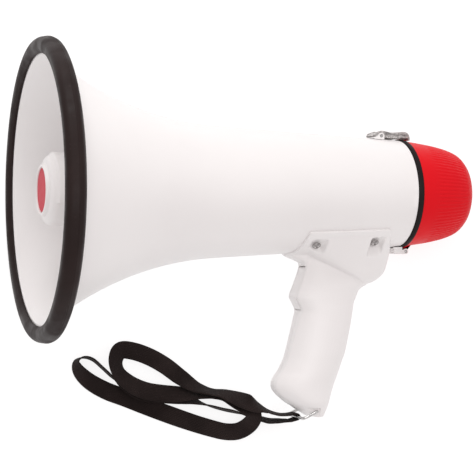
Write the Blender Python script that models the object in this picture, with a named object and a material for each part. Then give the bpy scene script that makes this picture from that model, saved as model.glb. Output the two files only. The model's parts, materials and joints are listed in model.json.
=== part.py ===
"""Handheld megaphone, lying on its right side as it rests on a table.

Pieces are modelled in the horn's own frame, in millimetres: X runs back along the horn's axis from the
plane of the bell's mouth, Z points to the top (the latch side) and Y to the right-hand side. An empty
called rest_pose turns that frame onto the table, so world +Z is up and the table is z = 0.
"""
import math

import bmesh
import bpy
from mathutils import Matrix, Vector

MM = 0.001
GAP = 0.3                  # clearance between pieces that touch

# ---- driving dimensions, in millimetres ------------------------------------------------------------
BELL_R = 103.0             # outside radius of the rubber rim
RIM_FRONT = -4.4           # the rim's front face
RIM_REAR = 10.0
RIM_WIDEST = 3.5           # where the rim has its full radius
SHELL_FRONT = 2.0          # front face of the shell's flange
SHELL_REAR = 262.7
WALL = 2.5                 # shell wall
BARREL_R0 = 52.7           # the barrel's taper, carried forward to the mouth
BARREL_TAPER = 0.053
FLARE_DEPTH = 125.0        # how far back the flare starts
FLARE_GAIN = 39.3
FLARE_POWER = 2.15
FLANGE_R = 97.0
RUBBER_LIP_R = 91.3        # inner edge of the rim as seen from the front

DRUM_R = 25.6              # the reflector cup in the mouth of the bell
DRUM_FRONT = 3.0
DRUM_REAR = 80.0
BOSS_R = 17.5
DISC_R = 14.8
THROAT_R = 9.0
FOLD_S = 94.0              # flange that closes the back of the folded horn

CELL_R = 13.0              # eight C cells in two layers
CELL_LENGTH = 50.0
CELL_PITCH = 14.2          # from the axis to each cell, both ways
CELLS_FRONT = 155.0

CAP_FRONT = 267.1
CAP_REAR = 314.0
CAP_R = 38.6
CAP_FLAT_R = 21.0
DISH_R = 18.0
DISH_S = 310.8
SPIGOT_FRONT = 261.5
SPIGOT_R = 35.6

HINGE = (266.9, -41.9)     # cap hinge axis, as (x, z)
HINGE_R = 2.0
LEVER_PIVOT = (247.3, 41.5)
LINK_PIVOT = (244.4, 42.4)
TRIGGER_PIVOT = (198.0, -56.0)
RING_PIVOT = (195.2, -154.8)
RING_HALF = 14.5           # half the ring's width, centre to centre of its legs
RING_WIRE = 1.1
RING_REACH = (-10.6, -4.6)  # from the pivot to the bar that holds the strap
KNOB_YZ = (5.5, -9.5)
MIC_YZ = (0.0, 6.5)
SLIDER_YZ = (-8.0, -9.0)

STRAP_WIDTH = 12.7         # half-inch webbing
STRAP_THICKNESS = 1.3
LOOP_SLIDE = 3.0           # how far down the ring's bar the strap has slid

# The strap's route over the table, from the ring and back to it, as (x, y, z, lean) in the world.
# lean is the angle in degrees between the webbing's width and the table.
STRAP_ROUTE = [
    (24.2, -123.9, 16.7, -74), (21.2, -124, 17, -74), (16.5, -123.1, 15, -74), (10.5, -120.4, 11.8, -72),
    (4, -117.2, 14.2, -58),
    (-4.5, -114, 20.2, -20), (-12, -109.5, 15.6, -30), (-20, -105, 9.8, -50), (-28, -103, 7.9, -58),
    (-35, -100.5, 7.9, -52), (-43, -96.5, 8.2, -36), (-51.5, -89.5, 6.6, -14), (-61, -81, 6.2, -4),
    (-72, -74, 7.8, 2), (-83.5, -69.5, 10.4, 8), (-92.5, -69, 13.2, 24), (-96.5, -76, 15.2, 38),
    (-95, -85, 16.2, 36), (-87.5, -93.5, 15.4, 18), (-76.5, -99, 12.2, 6), (-63.5, -101.5, 9.4, 8),
    (-52, -102.5, 8, 22), (-42.5, -103, 7.4, 42), (-34.5, -104, 6.4, 54), (-27.5, -105, 6.4, 58),
    (-19, -107, 8.2, 48), (-11.5, -112, 12.4, 26), (-5, -117.5, 16.8, 20), (-1.5, -123, 17.6, 22),
    (-4.5, -128.5, 13.8, 26), (-12, -132, 8.2, 28), (-21, -131.5, 4.5, 28), (-32, -128, 3.8, 26),
    (-46, -122.5, 3.4, 22), (-61.5, -115.5, 1.9, 9), (-76.5, -108.5, 1.5, 5), (-91, -101.5, 1.5, 5),
    (-104.5, -95.5, 2.9, 18), (-116, -88, 4.2, 32), (-123, -80, 5.7, 50), (-124, -73.5, 6.7, 68),
    (-119, -71, 7, 84), (-112.5, -73, 7, 90), (-106, -79.5, 7, 90), (-99.5, -86.5, 7, 88),
    (-93, -93, 7, 66), (-84.5, -97.5, 6.3, 34), (-74.5, -100, 4.8, 8), (-63, -101.5, 3.7, 3),
    (-53, -103.5, 3.8, 18), (-45.5, -106.5, 5.2, 44), (-39, -109.5, 6.5, 68), (-31, -112.5, 7, 84),
    (-22.5, -115.5, 7, 88), (-14, -118, 7, 88), (-5.5, -121, 6.9, 76), (3.5, -124, 6.7, 66),
    (10, -126.4, 8.6, 66), (16.5, -127.8, 13, 70), (21.2, -128.3, 15.6, 74), (24.2, -128.3, 15.5, 74),
]

# where the megaphone touches the table, as it lies
CAP_CONTACT = (296.0, 34.1)          # x and radius
GRIP_CONTACT = (199.3, 15.0, -159.0)

BIG_SEGMENTS = 40
MID_SEGMENTS = 24
SMALL_SEGMENTS = 16


# ---- materials -------------------------------------------------------------------------------------
def material(name, colour, roughness, metallic=0.0):
    found = bpy.data.materials.get(name)
    if found:
        return found
    made = bpy.data.materials.new(name)
    made.use_nodes = True
    shader = made.node_tree.nodes["Principled BSDF"]
    shader.inputs["Base Color"].default_value = (*colour, 1.0)
    shader.inputs["Roughness"].default_value = roughness
    shader.inputs["Metallic"].default_value = metallic
    made.diffuse_color = (*colour, 1.0)
    return made


def white_abs():
    return material("white_abs", (0.86, 0.85, 0.84), 0.42)


def red_abs():
    return material("red_abs", (0.72, 0.02, 0.03), 0.35)


def black_rubber():
    return material("black_rubber", (0.03, 0.025, 0.025), 0.7)


def cast_metal():
    return material("cast_metal", (0.42, 0.40, 0.39), 0.45, 1.0)


def bright_steel():
    return material("bright_steel", (0.62, 0.62, 0.62), 0.3, 1.0)


def black_plastic():
    return material("black_plastic", (0.04, 0.04, 0.04), 0.5)


def brass():
    return material("brass", (0.75, 0.58, 0.25), 0.35, 1.0)


def board_green():
    return material("circuit_board", (0.04, 0.22, 0.09), 0.5)


def ferrite():
    return material("ferrite", (0.09, 0.09, 0.1), 0.6)


def aluminium():
    return material("aluminium", (0.7, 0.7, 0.72), 0.4, 1.0)


def cell_wrap():
    return material("cell_wrap", (0.07, 0.2, 0.5), 0.4)


def webbing_black():
    return material("black_webbing", (0.02, 0.018, 0.018), 0.85)


# ---- building blocks: each returns a bmesh in the horn's frame, in millimetres ----------------------
def turned(profile, segments=MID_SEGMENTS, centre=(0.0, 0.0)):
    """A solid of revolution about the X direction through centre. profile lists (x, radius); it is a
    closed outline, or it starts and ends on the axis with radius 0."""
    bm = bmesh.new()
    rings = []
    for x, radius in profile:
        if radius == 0:
            rings.append([bm.verts.new((x, centre[0], centre[1]))])
            continue
        ring = []
        for i in range(segments):
            a = 2 * math.pi * i / segments
            ring.append(bm.verts.new((x, centre[0] + radius * math.sin(a), centre[1] + radius * math.cos(a))))
        rings.append(ring)
    pairs = list(zip(rings, rings[1:]))
    if profile[0][1] > 0:
        pairs.append((rings[-1], rings[0]))
    for first, second in pairs:
        for i in range(segments):
            j = (i + 1) % segments
            corners = [first[i % len(first)], first[j % len(first)], second[j % len(second)],
                       second[i % len(second)]]
            kept = []
            for corner in corners:
                if corner not in kept:
                    kept.append(corner)
            bm.faces.new(kept)
    bmesh.ops.recalc_face_normals(bm, faces=bm.faces)
    return bm


def rod(start, end, radius, segments=SMALL_SEGMENTS):
    """A straight round bar from start to end."""
    a, b = Vector(start), Vector(end)
    turn = (b - a).to_track_quat("Z", "Y").to_matrix().to_4x4()
    bm = bmesh.new()
    bmesh.ops.create_cone(bm, cap_ends=True, segments=segments, radius1=radius, radius2=radius,
                          depth=(b - a).length, matrix=Matrix.Translation((a + b) / 2) @ turn)
    return bm


def block(x, y, z):
    """A box, from the low and high value of each axis."""
    bm = bmesh.new()
    centre = Vector(((x[0] + x[1]) / 2, (y[0] + y[1]) / 2, (z[0] + z[1]) / 2))
    size = Matrix.Diagonal((x[1] - x[0], y[1] - y[0], z[1] - z[0], 1.0))
    bmesh.ops.create_cube(bm, size=1.0, matrix=Matrix.Translation(centre) @ size)
    return bm


def plate(outline, y0, y1):
    """An outline of (x, z) points, made solid from y0 to y1."""
    bm = bmesh.new()
    near = [bm.verts.new((x, y0, z)) for x, z in outline]
    face = bm.faces.new(near)
    grown = bmesh.ops.extrude_face_region(bm, geom=[face])
    moved = [item for item in grown["geom"] if isinstance(item, bmesh.types.BMVert)]
    bmesh.ops.translate(bm, verts=moved, vec=(0, y1 - y0, 0))
    bmesh.ops.recalc_face_normals(bm, faces=bm.faces)
    return bm


def swept(points, radius, sides=8, closed=False):
    """A round wire along points."""
    path = [Vector(p) for p in points]
    count = len(path)
    bm = bmesh.new()
    rings = []
    side = None
    for i, point in enumerate(path):
        before = path[i - 1] if i > 0 or closed else path[0]
        after = path[(i + 1) % count] if i < count - 1 or closed else path[-1]
        along = (after - before).normalized()
        if side is None:
            side = along.orthogonal().normalized()
        side = (side - along * side.dot(along)).normalized()
        other = along.cross(side)
        ring = []
        for k in range(sides):
            a = 2 * math.pi * k / sides
            ring.append(bm.verts.new(point + (side * math.cos(a) + other * math.sin(a)) * radius))
        rings.append(ring)
    for first, second in zip(rings, rings[1:]):
        for k in range(sides):
            n = (k + 1) % sides
            bm.faces.new((first[k], first[n], second[n], second[k]))
    bm.faces.new(rings[0])
    bm.faces.new(rings[-1])
    bmesh.ops.recalc_face_normals(bm, faces=bm.faces)
    return bm


def lofted(sections):
    """A solid through rings of equally many points, closed by its first and last ring."""
    bm = bmesh.new()
    rings = [[bm.verts.new(p) for p in section] for section in sections]
    count = len(rings[0])
    for first, second in zip(rings, rings[1:]):
        for k in range(count):
            n = (k + 1) % count
            bm.faces.new((first[k], first[n], second[n], second[k]))
    bm.faces.new(rings[0])
    bm.faces.new(rings[-1])
    bmesh.ops.recalc_face_normals(bm, faces=bm.faces)
    return bm


def arc(centre, radius, start, end, count):
    """Points on a circle in the X-Z plane; angles in degrees, from +X towards +Z."""
    points = []
    for i in range(count):
        a = math.radians(start + (end - start) * i / (count - 1))
        points.append((centre[0] + radius * math.cos(a), centre[1] + radius * math.sin(a)))
    return points


# ---- objects ---------------------------------------------------------------------------------------
def add(name, bm, look, pivot=(0.0, 0.0, 0.0), parent="rest_pose"):
    """Turn a bmesh into a named piece whose origin is at pivot."""
    bmesh.ops.translate(bm, verts=bm.verts, vec=-Vector(pivot))
    bmesh.ops.scale(bm, verts=bm.verts, vec=(MM, MM, MM))
    mesh = bpy.data.meshes.new(name)
    bm.to_mesh(mesh)
    bm.free()
    mesh.shade_smooth()
    mesh.set_sharp_from_angle(angle=math.radians(35))
    made = bpy.data.objects.new(name, mesh)
    bpy.context.collection.objects.link(made)
    made.location = Vector(pivot) * MM
    if parent:
        made.parent = bpy.data.objects[parent]
    if look:
        mesh.materials.append(look)
    return made


def tool(target, bm, operation):
    """Cut or join a piece with a hidden guide body."""
    guide = add(f"guide_{target.name}_{len(target.modifiers)}", bm, None)
    guide.hide_render = True
    guide.display_type = "WIRE"
    modifier = target.modifiers.new(operation.lower(), "BOOLEAN")
    modifier.operation = operation
    modifier.solver = "EXACT"
    modifier.object = guide


def cut(target, bm):
    tool(target, bm, "DIFFERENCE")


def join(target, bm):
    tool(target, bm, "UNION")


# ---- the horn --------------------------------------------------------------------------------------
def shell_radius(x):
    """Outside radius of the shell: a gently tapered barrel and, towards the mouth, its flare."""
    flare = max(0.0, 1.0 - x / FLARE_DEPTH)
    return BARREL_R0 - BARREL_TAPER * x + FLARE_GAIN * flare ** FLARE_POWER


def inner_radius(x):
    slope = (shell_radius(x + 0.5) - shell_radius(x - 0.5))
    return shell_radius(x) - WALL * math.sqrt(1 + slope * slope)


def horn_shell():
    flange_back = SHELL_FRONT + 2.5
    stations = [flange_back + (FLARE_DEPTH - flange_back) * (i / 9) ** 1.3 for i in range(10)]
    stations += [SHELL_REAR]
    outer = [(x, shell_radius(x)) for x in stations]
    inner = [(x, inner_radius(x)) for x in reversed(stations)]
    front_inner = inner_radius(SHELL_FRONT)
    profile = [(SHELL_FRONT, front_inner), (SHELL_FRONT, FLANGE_R), (flange_back, FLANGE_R)] + outer + inner
    shell = add("horn_shell", turned(profile, BIG_SEGMENTS), white_abs())
    cut(shell, rod((216, 0, -30), (216, 0, -60), 5.0))
    return shell


def rim_bumper():
    slot_front = SHELL_FRONT - GAP
    slot_back = SHELL_FRONT + 2.5 + GAP
    slot_r = FLANGE_R + GAP
    profile = [(slot_front, RUBBER_LIP_R), (-2.2, RUBBER_LIP_R + 0.6), (RIM_FRONT, 94.5), (RIM_FRONT, 99.0),
               (-2.6, 101.6), (0.4, BELL_R - 0.2), (RIM_WIDEST, BELL_R), (7.0, 101.8), (9.4, 98.6),
               (RIM_REAR, 95.0), (RIM_REAR - 0.1, shell_radius(RIM_REAR) + 0.8),
               (9.3, shell_radius(9.3) + 0.5), (slot_back, shell_radius(slot_back) + 0.5),
               (slot_back, slot_r), (slot_front, slot_r)]
    return add("rim_bumper", turned(profile, BIG_SEGMENTS), black_rubber())


def folded_horn():
    """The throat tube with the flange behind it, and the reflector cup in front."""
    lip = inner_radius(FOLD_S + 3) - GAP
    throat = [(24, 14), (60, 11), (FOLD_S + 3, THROAT_R), (FOLD_S + 3, lip), (FOLD_S, lip),
              (FOLD_S - 1, 30), (88, 17), (60, 13), (24, 16)]
    add("horn_throat", turned(throat), white_abs())
    shoulder = 5.5
    rounded = [(DRUM_FRONT + shoulder - shoulder * math.cos(a), DRUM_R - shoulder + shoulder * math.sin(a))
               for a in (0.0, 0.4, 0.8, 1.2, math.pi / 2)]
    cup = [(DRUM_FRONT - 1.6, 0), (DRUM_FRONT - 1.6, DISC_R + GAP), (DRUM_FRONT - 2.4, DISC_R + GAP),
           (DRUM_FRONT - 2.4, BOSS_R - 0.8), (DRUM_FRONT - 1.6, BOSS_R), (DRUM_FRONT, BOSS_R + 0.3)]
    cup += rounded
    cup += [(DRUM_REAR, DRUM_R), (DRUM_REAR, DRUM_R - 2), (10, DRUM_R - 2), (6, 18), (6, 0)]
    body = add("reflector_cup", turned(cup), white_abs())
    for i in range(3):
        fin = block((40, 72), (-0.9, 0.9), (15.2, DRUM_R - 1))
        bmesh.ops.rotate(fin, verts=fin.verts, cent=(0, 0, 0),
                         matrix=Matrix.Rotation(math.radians(120 * i + 60), 3, "X"))
        join(body, fin)
    disc = [(DRUM_FRONT - 2.1, 0), (DRUM_FRONT - 2.1, DISC_R - 0.5), (DRUM_FRONT - 1.9, DISC_R),
            (DRUM_FRONT - 1.6 - GAP + 0.25, DISC_R), (DRUM_FRONT - 1.6 - GAP + 0.25, 0)]
    add("nose_disc", turned(disc), red_abs())


def driver():
    """The compression driver, from the diaphragm back to its yoke, in a round housing."""
    front = FOLD_S + 3 + GAP
    housing = [(126, 0), (126, 29.5), (124.6, 31), (front + 3, 31), (front + 3, 34), (front, 34), (front, 29),
               (124, 29), (124, 0)]
    add("driver_housing", turned(housing), black_plastic())
    add("driver_diaphragm", turned([(98.2, 0), (98.8, 8), (101, 13), (100, 22), (100.6, 22), (101.8, 13),
                                    (99.6, 8), (99, 0)], 24), aluminium())
    add("voice_coil", turned([(102.1, 10.2), (102.1, 11), (108.5, 11), (108.5, 10.2)], 24), brass())
    add("top_plate", turned([(102.6, 11.6), (102.6, 26), (105.6, 26), (105.6, 11.6)], 24), bright_steel())
    add("driver_magnet", turned([(106, 13), (106, 26), (117.6, 26), (117.6, 13)], 24), ferrite())
    add("driver_yoke", turned([(103.2, 0), (103.2, 9.4), (118, 9.4), (118, 26), (121.4, 26), (121.4, 0)], 24),
        bright_steel())


# ---- electronics and battery compartment ------------------------------------------------------------
def electronics():
    wall = inner_radius(131) - GAP
    add("bulkhead", turned([(128.5, 0), (128.5, wall), (131, wall), (131, 0)]), black_plastic())
    add("amp_board", turned([(134, 0), (134, 37), (135.6, 37), (135.6, 0)]), board_green())
    add("heatsink", plate([(136, -30), (148, -30), (148, -28), (138, -28), (138, -24), (148, -24),
                           (148, -22), (136, -22)], -16, 16), aluminium())
    add("output_transformer", block((136, 149), (-11, 11), (-9, 11)), ferrite())
    for i, y in enumerate((-19.0, 19.0)):
        add(f"amp_capacitor_{i + 1}", turned([(136, 0), (136, 5), (149, 5), (149, 0)], SMALL_SEGMENTS, (y, 6)),
            black_plastic())


def battery():
    rear = CELLS_FRONT + 2 * CELL_LENGTH + 0.6
    tray = add("battery_tray", turned([(151, 0), (151, 35), (153, 35), (153, 0)]), black_plastic())
    join(tray, block((152, rear), (-0.8, 0.8), (-27, 27)))
    join(tray, block((152, rear), (-27, 27), (-0.8, 0.8)))
    number = 0
    for layer in range(2):
        front = CELLS_FRONT + layer * (CELL_LENGTH + 0.4)
        for y, z in ((-1, 1), (1, 1), (1, -1), (-1, -1)):
            number += 1
            cell = [(front, 0), (front, 3), (front + 1.4, 3), (front + 1.6, CELL_R),
                    (front + CELL_LENGTH, CELL_R), (front + CELL_LENGTH, 0)]
            add(f"cell_{number}", turned(cell, SMALL_SEGMENTS, (y * CELL_PITCH, z * CELL_PITCH)), cell_wrap())
    for side in (-1, 1):
        name = "contact_strip_left" if side < 0 else "contact_strip_right"
        low, high = sorted((side * 9.0, side * 19.0))
        cut(tray, block((153, 154.4 + GAP), (low - GAP, high + GAP), (-3, 3)))
        add(name, block((153.4, 154.4), (low, high), (-22, 22)), brass())


def gasket():
    outer = shell_radius(SHELL_REAR) + 0.5
    profile = [(SHELL_REAR + GAP, SPIGOT_R + 0.6), (SHELL_REAR + GAP, outer), (265.2, outer + 0.3),
               (CAP_FRONT - GAP, outer), (CAP_FRONT - GAP, SPIGOT_R + 0.6)]
    add("gasket", turned(profile, BIG_SEGMENTS), black_rubber())


# ---- rear cap --------------------------------------------------------------------------------------
def rear_cap():
    pivot = (HINGE[0], 0, HINGE[1])
    outer = [(CAP_FRONT, CAP_R), (273, 37.8), (292, 34.8), (300, 33), (307, 30.0), (311.6, 26),
             (CAP_REAR, CAP_FLAT_R), (CAP_REAR, DISH_R), (DISH_S, DISH_R), (DISH_S, 0)]
    inner = [(DISH_S - 2.3, 0), (DISH_S - 2.3, 20), (305, 27), (298, 30.4), (291, 32.2), (273, 33.4),
             (SPIGOT_FRONT, 33.4), (SPIGOT_FRONT, SPIGOT_R), (CAP_FRONT, SPIGOT_R)]
    cap = add("rear_cap", turned(inner + outer, BIG_SEGMENTS), red_abs(), pivot)
    knuckle = rod((HINGE[0], -4, HINGE[1]), (HINGE[0], 4, HINGE[1]), HINGE_R)
    join(cap, knuckle)
    join(cap, block((CAP_FRONT, 274), (-4, 4), (HINGE[1] - 1.2, -36)))
    cut(cap, rod((HINGE[0], -6, HINGE[1]), (HINGE[0], 6, HINGE[1]), 1.1))
    cut(cap, rod((300, *MIC_YZ), (320, *MIC_YZ), 5.4))
    cut(cap, rod((300, *KNOB_YZ), (320, *KNOB_YZ), 1.9))
    y, z = SLIDER_YZ
    cut(cap, block((300, 320), (y - 1.3, y + 1.3), (z - 4.3, z + 4.3)))

    join(cap, plate([(267.3, 36.6), (267.3, 39.2), (268.6, 39.2), (269.2, 36.6)], -5, 5))
    add("control_board", turned([(286, 0), (286, 28), (287.6, 28), (287.6, 0)]), board_green(), pivot)
    add("volume_pot", turned([(288, 0), (288, 7), (300, 7), (300, 3), (307.6, 3), (307.6, 1.9), (290, 1.9),
                              (290, 0)], 20, KNOB_YZ), bright_steel(), pivot)
    add("mic_capsule", turned([(300, 0), (300, 4.6), (309.5, 4.6), (309.5, 0)], 20, MIC_YZ), black_plastic(),
        pivot)
    add("mode_switch", block((299, 306.5), (y - 3, y + 3), (z - 6, z + 6)), black_plastic(), pivot)
    add("contact_board", turned([(258.6, 0), (258.6, 31.5), (260.2, 31.5), (260.2, 0)]), board_green(), pivot)
    grille = [(DISH_S + GAP, 0), (DISH_S + GAP, 8.5), (DISH_S + 1.4, 8.5), (DISH_S + 2.4, 6.5),
              (DISH_S + 2.6, 0)]
    add("mic_grille", turned(grille, 24, MIC_YZ), black_plastic(), pivot)


def controls():
    knob = [(DISH_S + GAP, 0), (DISH_S + GAP, 5.4), (CAP_REAR - 0.6, 5.2), (CAP_REAR - 0.3, 4.8),
            (CAP_REAR - 0.3, 0)]
    body = add("volume_knob", turned(knob, 24, KNOB_YZ), black_plastic(),
               (DISH_S, KNOB_YZ[0], KNOB_YZ[1]))
    join(body, turned([(291, 0), (291, 1.5), (DISH_S + 1, 1.5), (DISH_S + 1, 0)], SMALL_SEGMENTS, KNOB_YZ))
    y, z = SLIDER_YZ
    slider = add("mode_slider", block((DISH_S + GAP, CAP_REAR - 0.5), (y - 1.7, y + 1.7), (z - 4, z - 0.4)),
                 black_plastic(), (DISH_S, y, z - 2.2))
    join(slider, block((306.8, DISH_S + 1), (y - 0.9, y + 0.9), (z - 3.6, z - 0.8)))


def cap_hinge():
    base = add("cap_hinge_base", block((257.6, 264), (-9, 9), (-43.4, -36)), white_abs())
    x, z = HINGE
    for low, high in ((-9.0, -4.3), (4.3, 9.0)):
        join(base, rod((x, low, z), (x, high, z), HINGE_R))
        join(base, block((262, x), (low, high), (z - HINGE_R + 0.1, z + 1.2)))
    cut(base, turned([(250, 0), (250, shell_radius(250) + 0.7), (268.5, shell_radius(260) + 0.7), (268.5, 0)],
                     BIG_SEGMENTS))
    cut(base, rod((x, -12, z), (x, 12, z), 1.1))
    add("cap_hinge_pin", rod((x, -8.6, z), (x, 8.6, z), 0.8), bright_steel())


# ---- latch -----------------------------------------------------------------------------------------
EAR_IN = 7.6
EAR_OUT = 9.4
ARM_IN = 5.2
ARM_OUT = 7.2


def latch():
    x, z = LEVER_PIVOT
    base = add("latch_base", block((242.0, 244.8), (-EAR_OUT, EAR_OUT), (36, 40.75)), white_abs())
    for low, high in ((-EAR_OUT, -EAR_IN), (EAR_IN, EAR_OUT)):
        ear = [(242.2, 36), (249.6, 36)] + arc((x, z), 2.1, 10, 160, 6) + [(242.2, 40.0)]
        join(base, plate(ear, low, high))
    cut(base, turned([(230, 0), (230, shell_radius(230) + 0.5), (262, shell_radius(262) + 0.5), (262, 0)],
                     BIG_SEGMENTS))
    cut(base, rod((x, -12, z), (x, 12, z), 1.3))
    add("latch_pin", rod((x, -9.2, z), (x, 9.2, z), 1.0), bright_steel())

    lever_pivot = (x, 0, z)
    outline = [(241.4, 41.1), (245.2, 41.2)] + arc((x, z), 1.7, -120, 60, 8)
    outline += [(245.6, 44.4), (243.2, 42.9), (241.4, 41.6)]
    lever = add("latch_lever", plate(outline, -4.9, 4.9), cast_metal(), lever_pivot)
    cut(lever, rod((x, -8, z), (x, 8, z), 1.3))
    cut(lever, rod((LINK_PIVOT[0], -8, LINK_PIVOT[1]), (LINK_PIVOT[0], 8, LINK_PIVOT[1]), 1.1))
    add("latch_link_pin", rod((LINK_PIVOT[0], -7.1, LINK_PIVOT[1]), (LINK_PIVOT[0], 7.1, LINK_PIVOT[1]), 0.8),
        bright_steel(), lever_pivot)

    link_pivot = (LINK_PIVOT[0], 0, LINK_PIVOT[1])
    claw = [(251.0, 42.4), (259, 41.6), (264.6, 41.7), (268.9, 41.0), (269.8, 38.55), (271.0, 38.55),
            (270.2, 42.8), (268.6, 44.3), (266.2, 44.9), (262, 44.6), (258, 44.2), (254.4, 44.3), (251.0, 45.1)]
    link = add("latch_link", plate(claw, -ARM_OUT, ARM_OUT), cast_metal(), link_pivot)
    for low, high in ((-ARM_OUT, -ARM_IN), (ARM_IN, ARM_OUT)):
        arm = arc(LINK_PIVOT, 1.6, 90, 290, 7) + [(246.2, 42.85), (252.0, 42.85), (252.0, 45.0), (248.2, 45.4)]
        join(link, plate(arm, low, high))
    cut(link, rod((LINK_PIVOT[0], -8, LINK_PIVOT[1]), (LINK_PIVOT[0], 8, LINK_PIVOT[1]), 1.1))


# ---- grip, trigger and strap ring --------------------------------------------------------------------
# the grip's outline from the side, as (z, front x, rear x, half width)
GRIP_SECTIONS = [
    (-42.0, 189.0, 253.4, 15.0), (-50.0, 189.2, 253.0, 14.5), (-53.0, 189.4, 252.0, 14.2),
    (-58.0, 188.2, 249.5, 14.0), (-64.0, 186.2, 241.5, 14.2), (-69.0, 184.4, 233.0, 15.0),
    (-74.0, 183.0, 230.2, 15.6), (-79.0, 185.2, 228.0, 16.0), (-84.0, 186.6, 227.0, 16.5),
    (-90.0, 184.6, 226.0, 16.9), (-98.0, 182.3, 224.4, 17.4), (-113.0, 178.2, 221.0, 18.0),
    (-119.0, 176.2, 218.8, 18.0), (-126.0, 172.6, 216.3, 18.0), (-131.0, 169.0, 214.4, 18.0),
    (-135.0, 167.2, 212.8, 17.8), (-139.0, 167.6, 211.4, 17.6), (-143.0, 170.4, 210.0, 17.4),
    (-148.0, 176.2, 208.4, 17.1), (-154.0, 185.0, 207.0, 16.4), (-159.0, 193.0, 205.6, 15.0),
]


def grip_ring(z, front, rear, half, side, inset=0.0, count=9):
    """Half of a rounded section, open towards the parting plane and closed along it."""
    front, rear, half = front + inset, rear - inset, half - inset
    middle, reach = (front + rear) / 2, (rear - front) / 2
    start = GAP / 2 if inset == 0 else -4.0
    points = [(front, side * start, z)]
    for i in range(1, count):
        a = math.pi * i / count
        power = 0.72
        x = middle - reach * math.copysign(abs(math.cos(a)) ** power, math.cos(a))
        y = max(start, half * math.sin(a) ** power)
        points.append((x, side * y, z))
    points.append((rear, side * start, z))
    return points


def saddle(side):
    """The flange that hugs the barrel, on one side of the parting plane."""
    reach = math.radians(SADDLE_WRAP)
    start = GAP / 2 / shell_radius(SADDLE_FRONT)
    inner, outer = 0.4, 2.1
    sections = []
    for k in range(9):
        a = start + (reach - start) * k / 8
        front = SADDLE_FRONT + SADDLE_RAKE * k / 8
        rear = SADDLE_REAR - SADDLE_SLANT * k / 8
        ring = []
        for x, lift in ((front, inner), (rear, inner), (rear, outer), (front, outer)):
            radius = shell_radius(x) + lift
            ring.append((x, side * radius * math.sin(a), -radius * math.cos(a)))
        sections.append(ring)
    return lofted(sections)


SADDLE_FRONT = 176.0
SADDLE_REAR = 252.0
SADDLE_RAKE = 6.0          # how much further back its front edge is at the top
SADDLE_SLANT = 7.0         # how much further forward its rear edge is at the top
SADDLE_WRAP = 50.0
SADDLE_WEDGE = [(176.6, -42.0), (176.6, -44.8), (183.0, -47.6), (190.6, -51.0), (194.0, -51.0), (194.0, -42.0)]
SCREW_X = (190.0, 235.0)
SCREW_ANGLE = 34.0


def screw_frame(x, side):
    a = math.radians(SCREW_ANGLE)
    out = Vector((0, side * math.sin(a), -math.cos(a)))
    return out, out * shell_radius(x) + Vector((x, 0, 0))


def grip_half(name, side):
    half = add(name, lofted([grip_ring(*s, side) for s in GRIP_SECTIONS]), white_abs())
    join(half, saddle(side))
    near, far = sorted((side * GAP / 2, side * 8.5))
    join(half, plate(SADDLE_WEDGE, near, far))
    hollow = []
    for z, front, rear, width in GRIP_SECTIONS:
        hollow.append(grip_ring(z + (3.0 if z < -150 else 0.0), front, rear, width, side, inset=2.6))
    hollow[0] = [(x, y, -36.0) for x, y, z in hollow[0]]
    cut(half, lofted(hollow))
    cut(half, turned([(150, 0), (150, shell_radius(150) + 0.4), (262, shell_radius(262) + 0.4), (262, 0)],
                     BIG_SEGMENTS))
    cut(half, block((160, 204), (-6.2, 6.2), (-86.2, -51.0)))
    x, z = TRIGGER_PIVOT
    cut(half, rod((x, -12, z), (x, 12, z), 1.6))
    x, z = RING_PIVOT
    cut(half, rod((x, side * 9, z), (x, side * 30, z), 1.5, 12))
    recess = sorted((side * (RING_HALF - RING_WIRE - GAP), side * 30))
    cut(half, block((160, x + 2.4), recess, (-170, z + 2.4)))
    for x in SCREW_X:
        out, seat = screw_frame(x, side)
        cut(half, rod(seat - out * 4, seat + out * 6, 1.9, 12))
    return half


def grip():
    grip_half("grip_left", -1)
    grip_half("grip_right", 1)
    number = 0
    for side in (-1, 1):
        for x in SCREW_X:
            number += 1
            out, seat = screw_frame(x, side)
            screw = add(f"saddle_screw_{number}", rod(seat + out * 2.3, seat + out * 3.6, 2.9, 12), bright_steel())
            join(screw, rod(seat + out * 0.4, seat + out * 2.6, 1.4, 12))
    add("talk_switch", block((206, 213), (-5, 5), (-84, -70)), black_plastic())


def trigger():
    x, z = TRIGGER_PIVOT
    outline = [(191.0, -52.6), (189.4, -54.0), (186.5, -62.0), (183.0, -71.0), (181.4, -74.0), (183.0, -77.6),
               (186.6, -83.4), (191.4, -84.8), (199.0, -85.6), (200.5, -80.0), (201.2, -66.0)]
    outline += arc((x, z), 3.6, -30, 90, 5)
    body = add("trigger", plate(outline, -5.7, 5.7), white_abs(), (x, 0, z))
    cut(body, rod((x, -8, z), (x, 8, z), 1.5))
    cut(body, block((191, 210), (-3.4, 3.4), (-64, -48)))
    add("trigger_pin", rod((x, -9, z), (x, 9, z), 1.2), bright_steel())
    turns, sides = 3, 10
    coil = []
    for i in range(turns * sides + 1):
        a = 2 * math.pi * i / sides
        coil.append((x + 2.2 * math.cos(a), -2.4 + 4.8 * i / (turns * sides), z + 2.2 * math.sin(a)))
    add("trigger_spring", swept(coil, 0.4, 6), bright_steel())


def strap_ring():
    x, z = RING_PIVOT
    half = RING_HALF
    forward, down = RING_REACH
    points = [(x, -10.4, z), (x, -half + 1.0, z), (x - 0.3, -half + 0.3, z)]
    points += [(x + forward * t, -half, z + down * t) for t in (0.12, 0.8)]
    points += [(x + forward * 0.97, -half + 1.0, z + down * 0.97), (x + forward, -half + 2.6, z + down)]
    points += [(x + forward, 0, z + down)]
    mirrored = [(px, -py, pz) for px, py, pz in reversed(points[:-1])]
    add("strap_ring", swept(points + mirrored, RING_WIRE, 8), bright_steel(), (x, 0, z))


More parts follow.
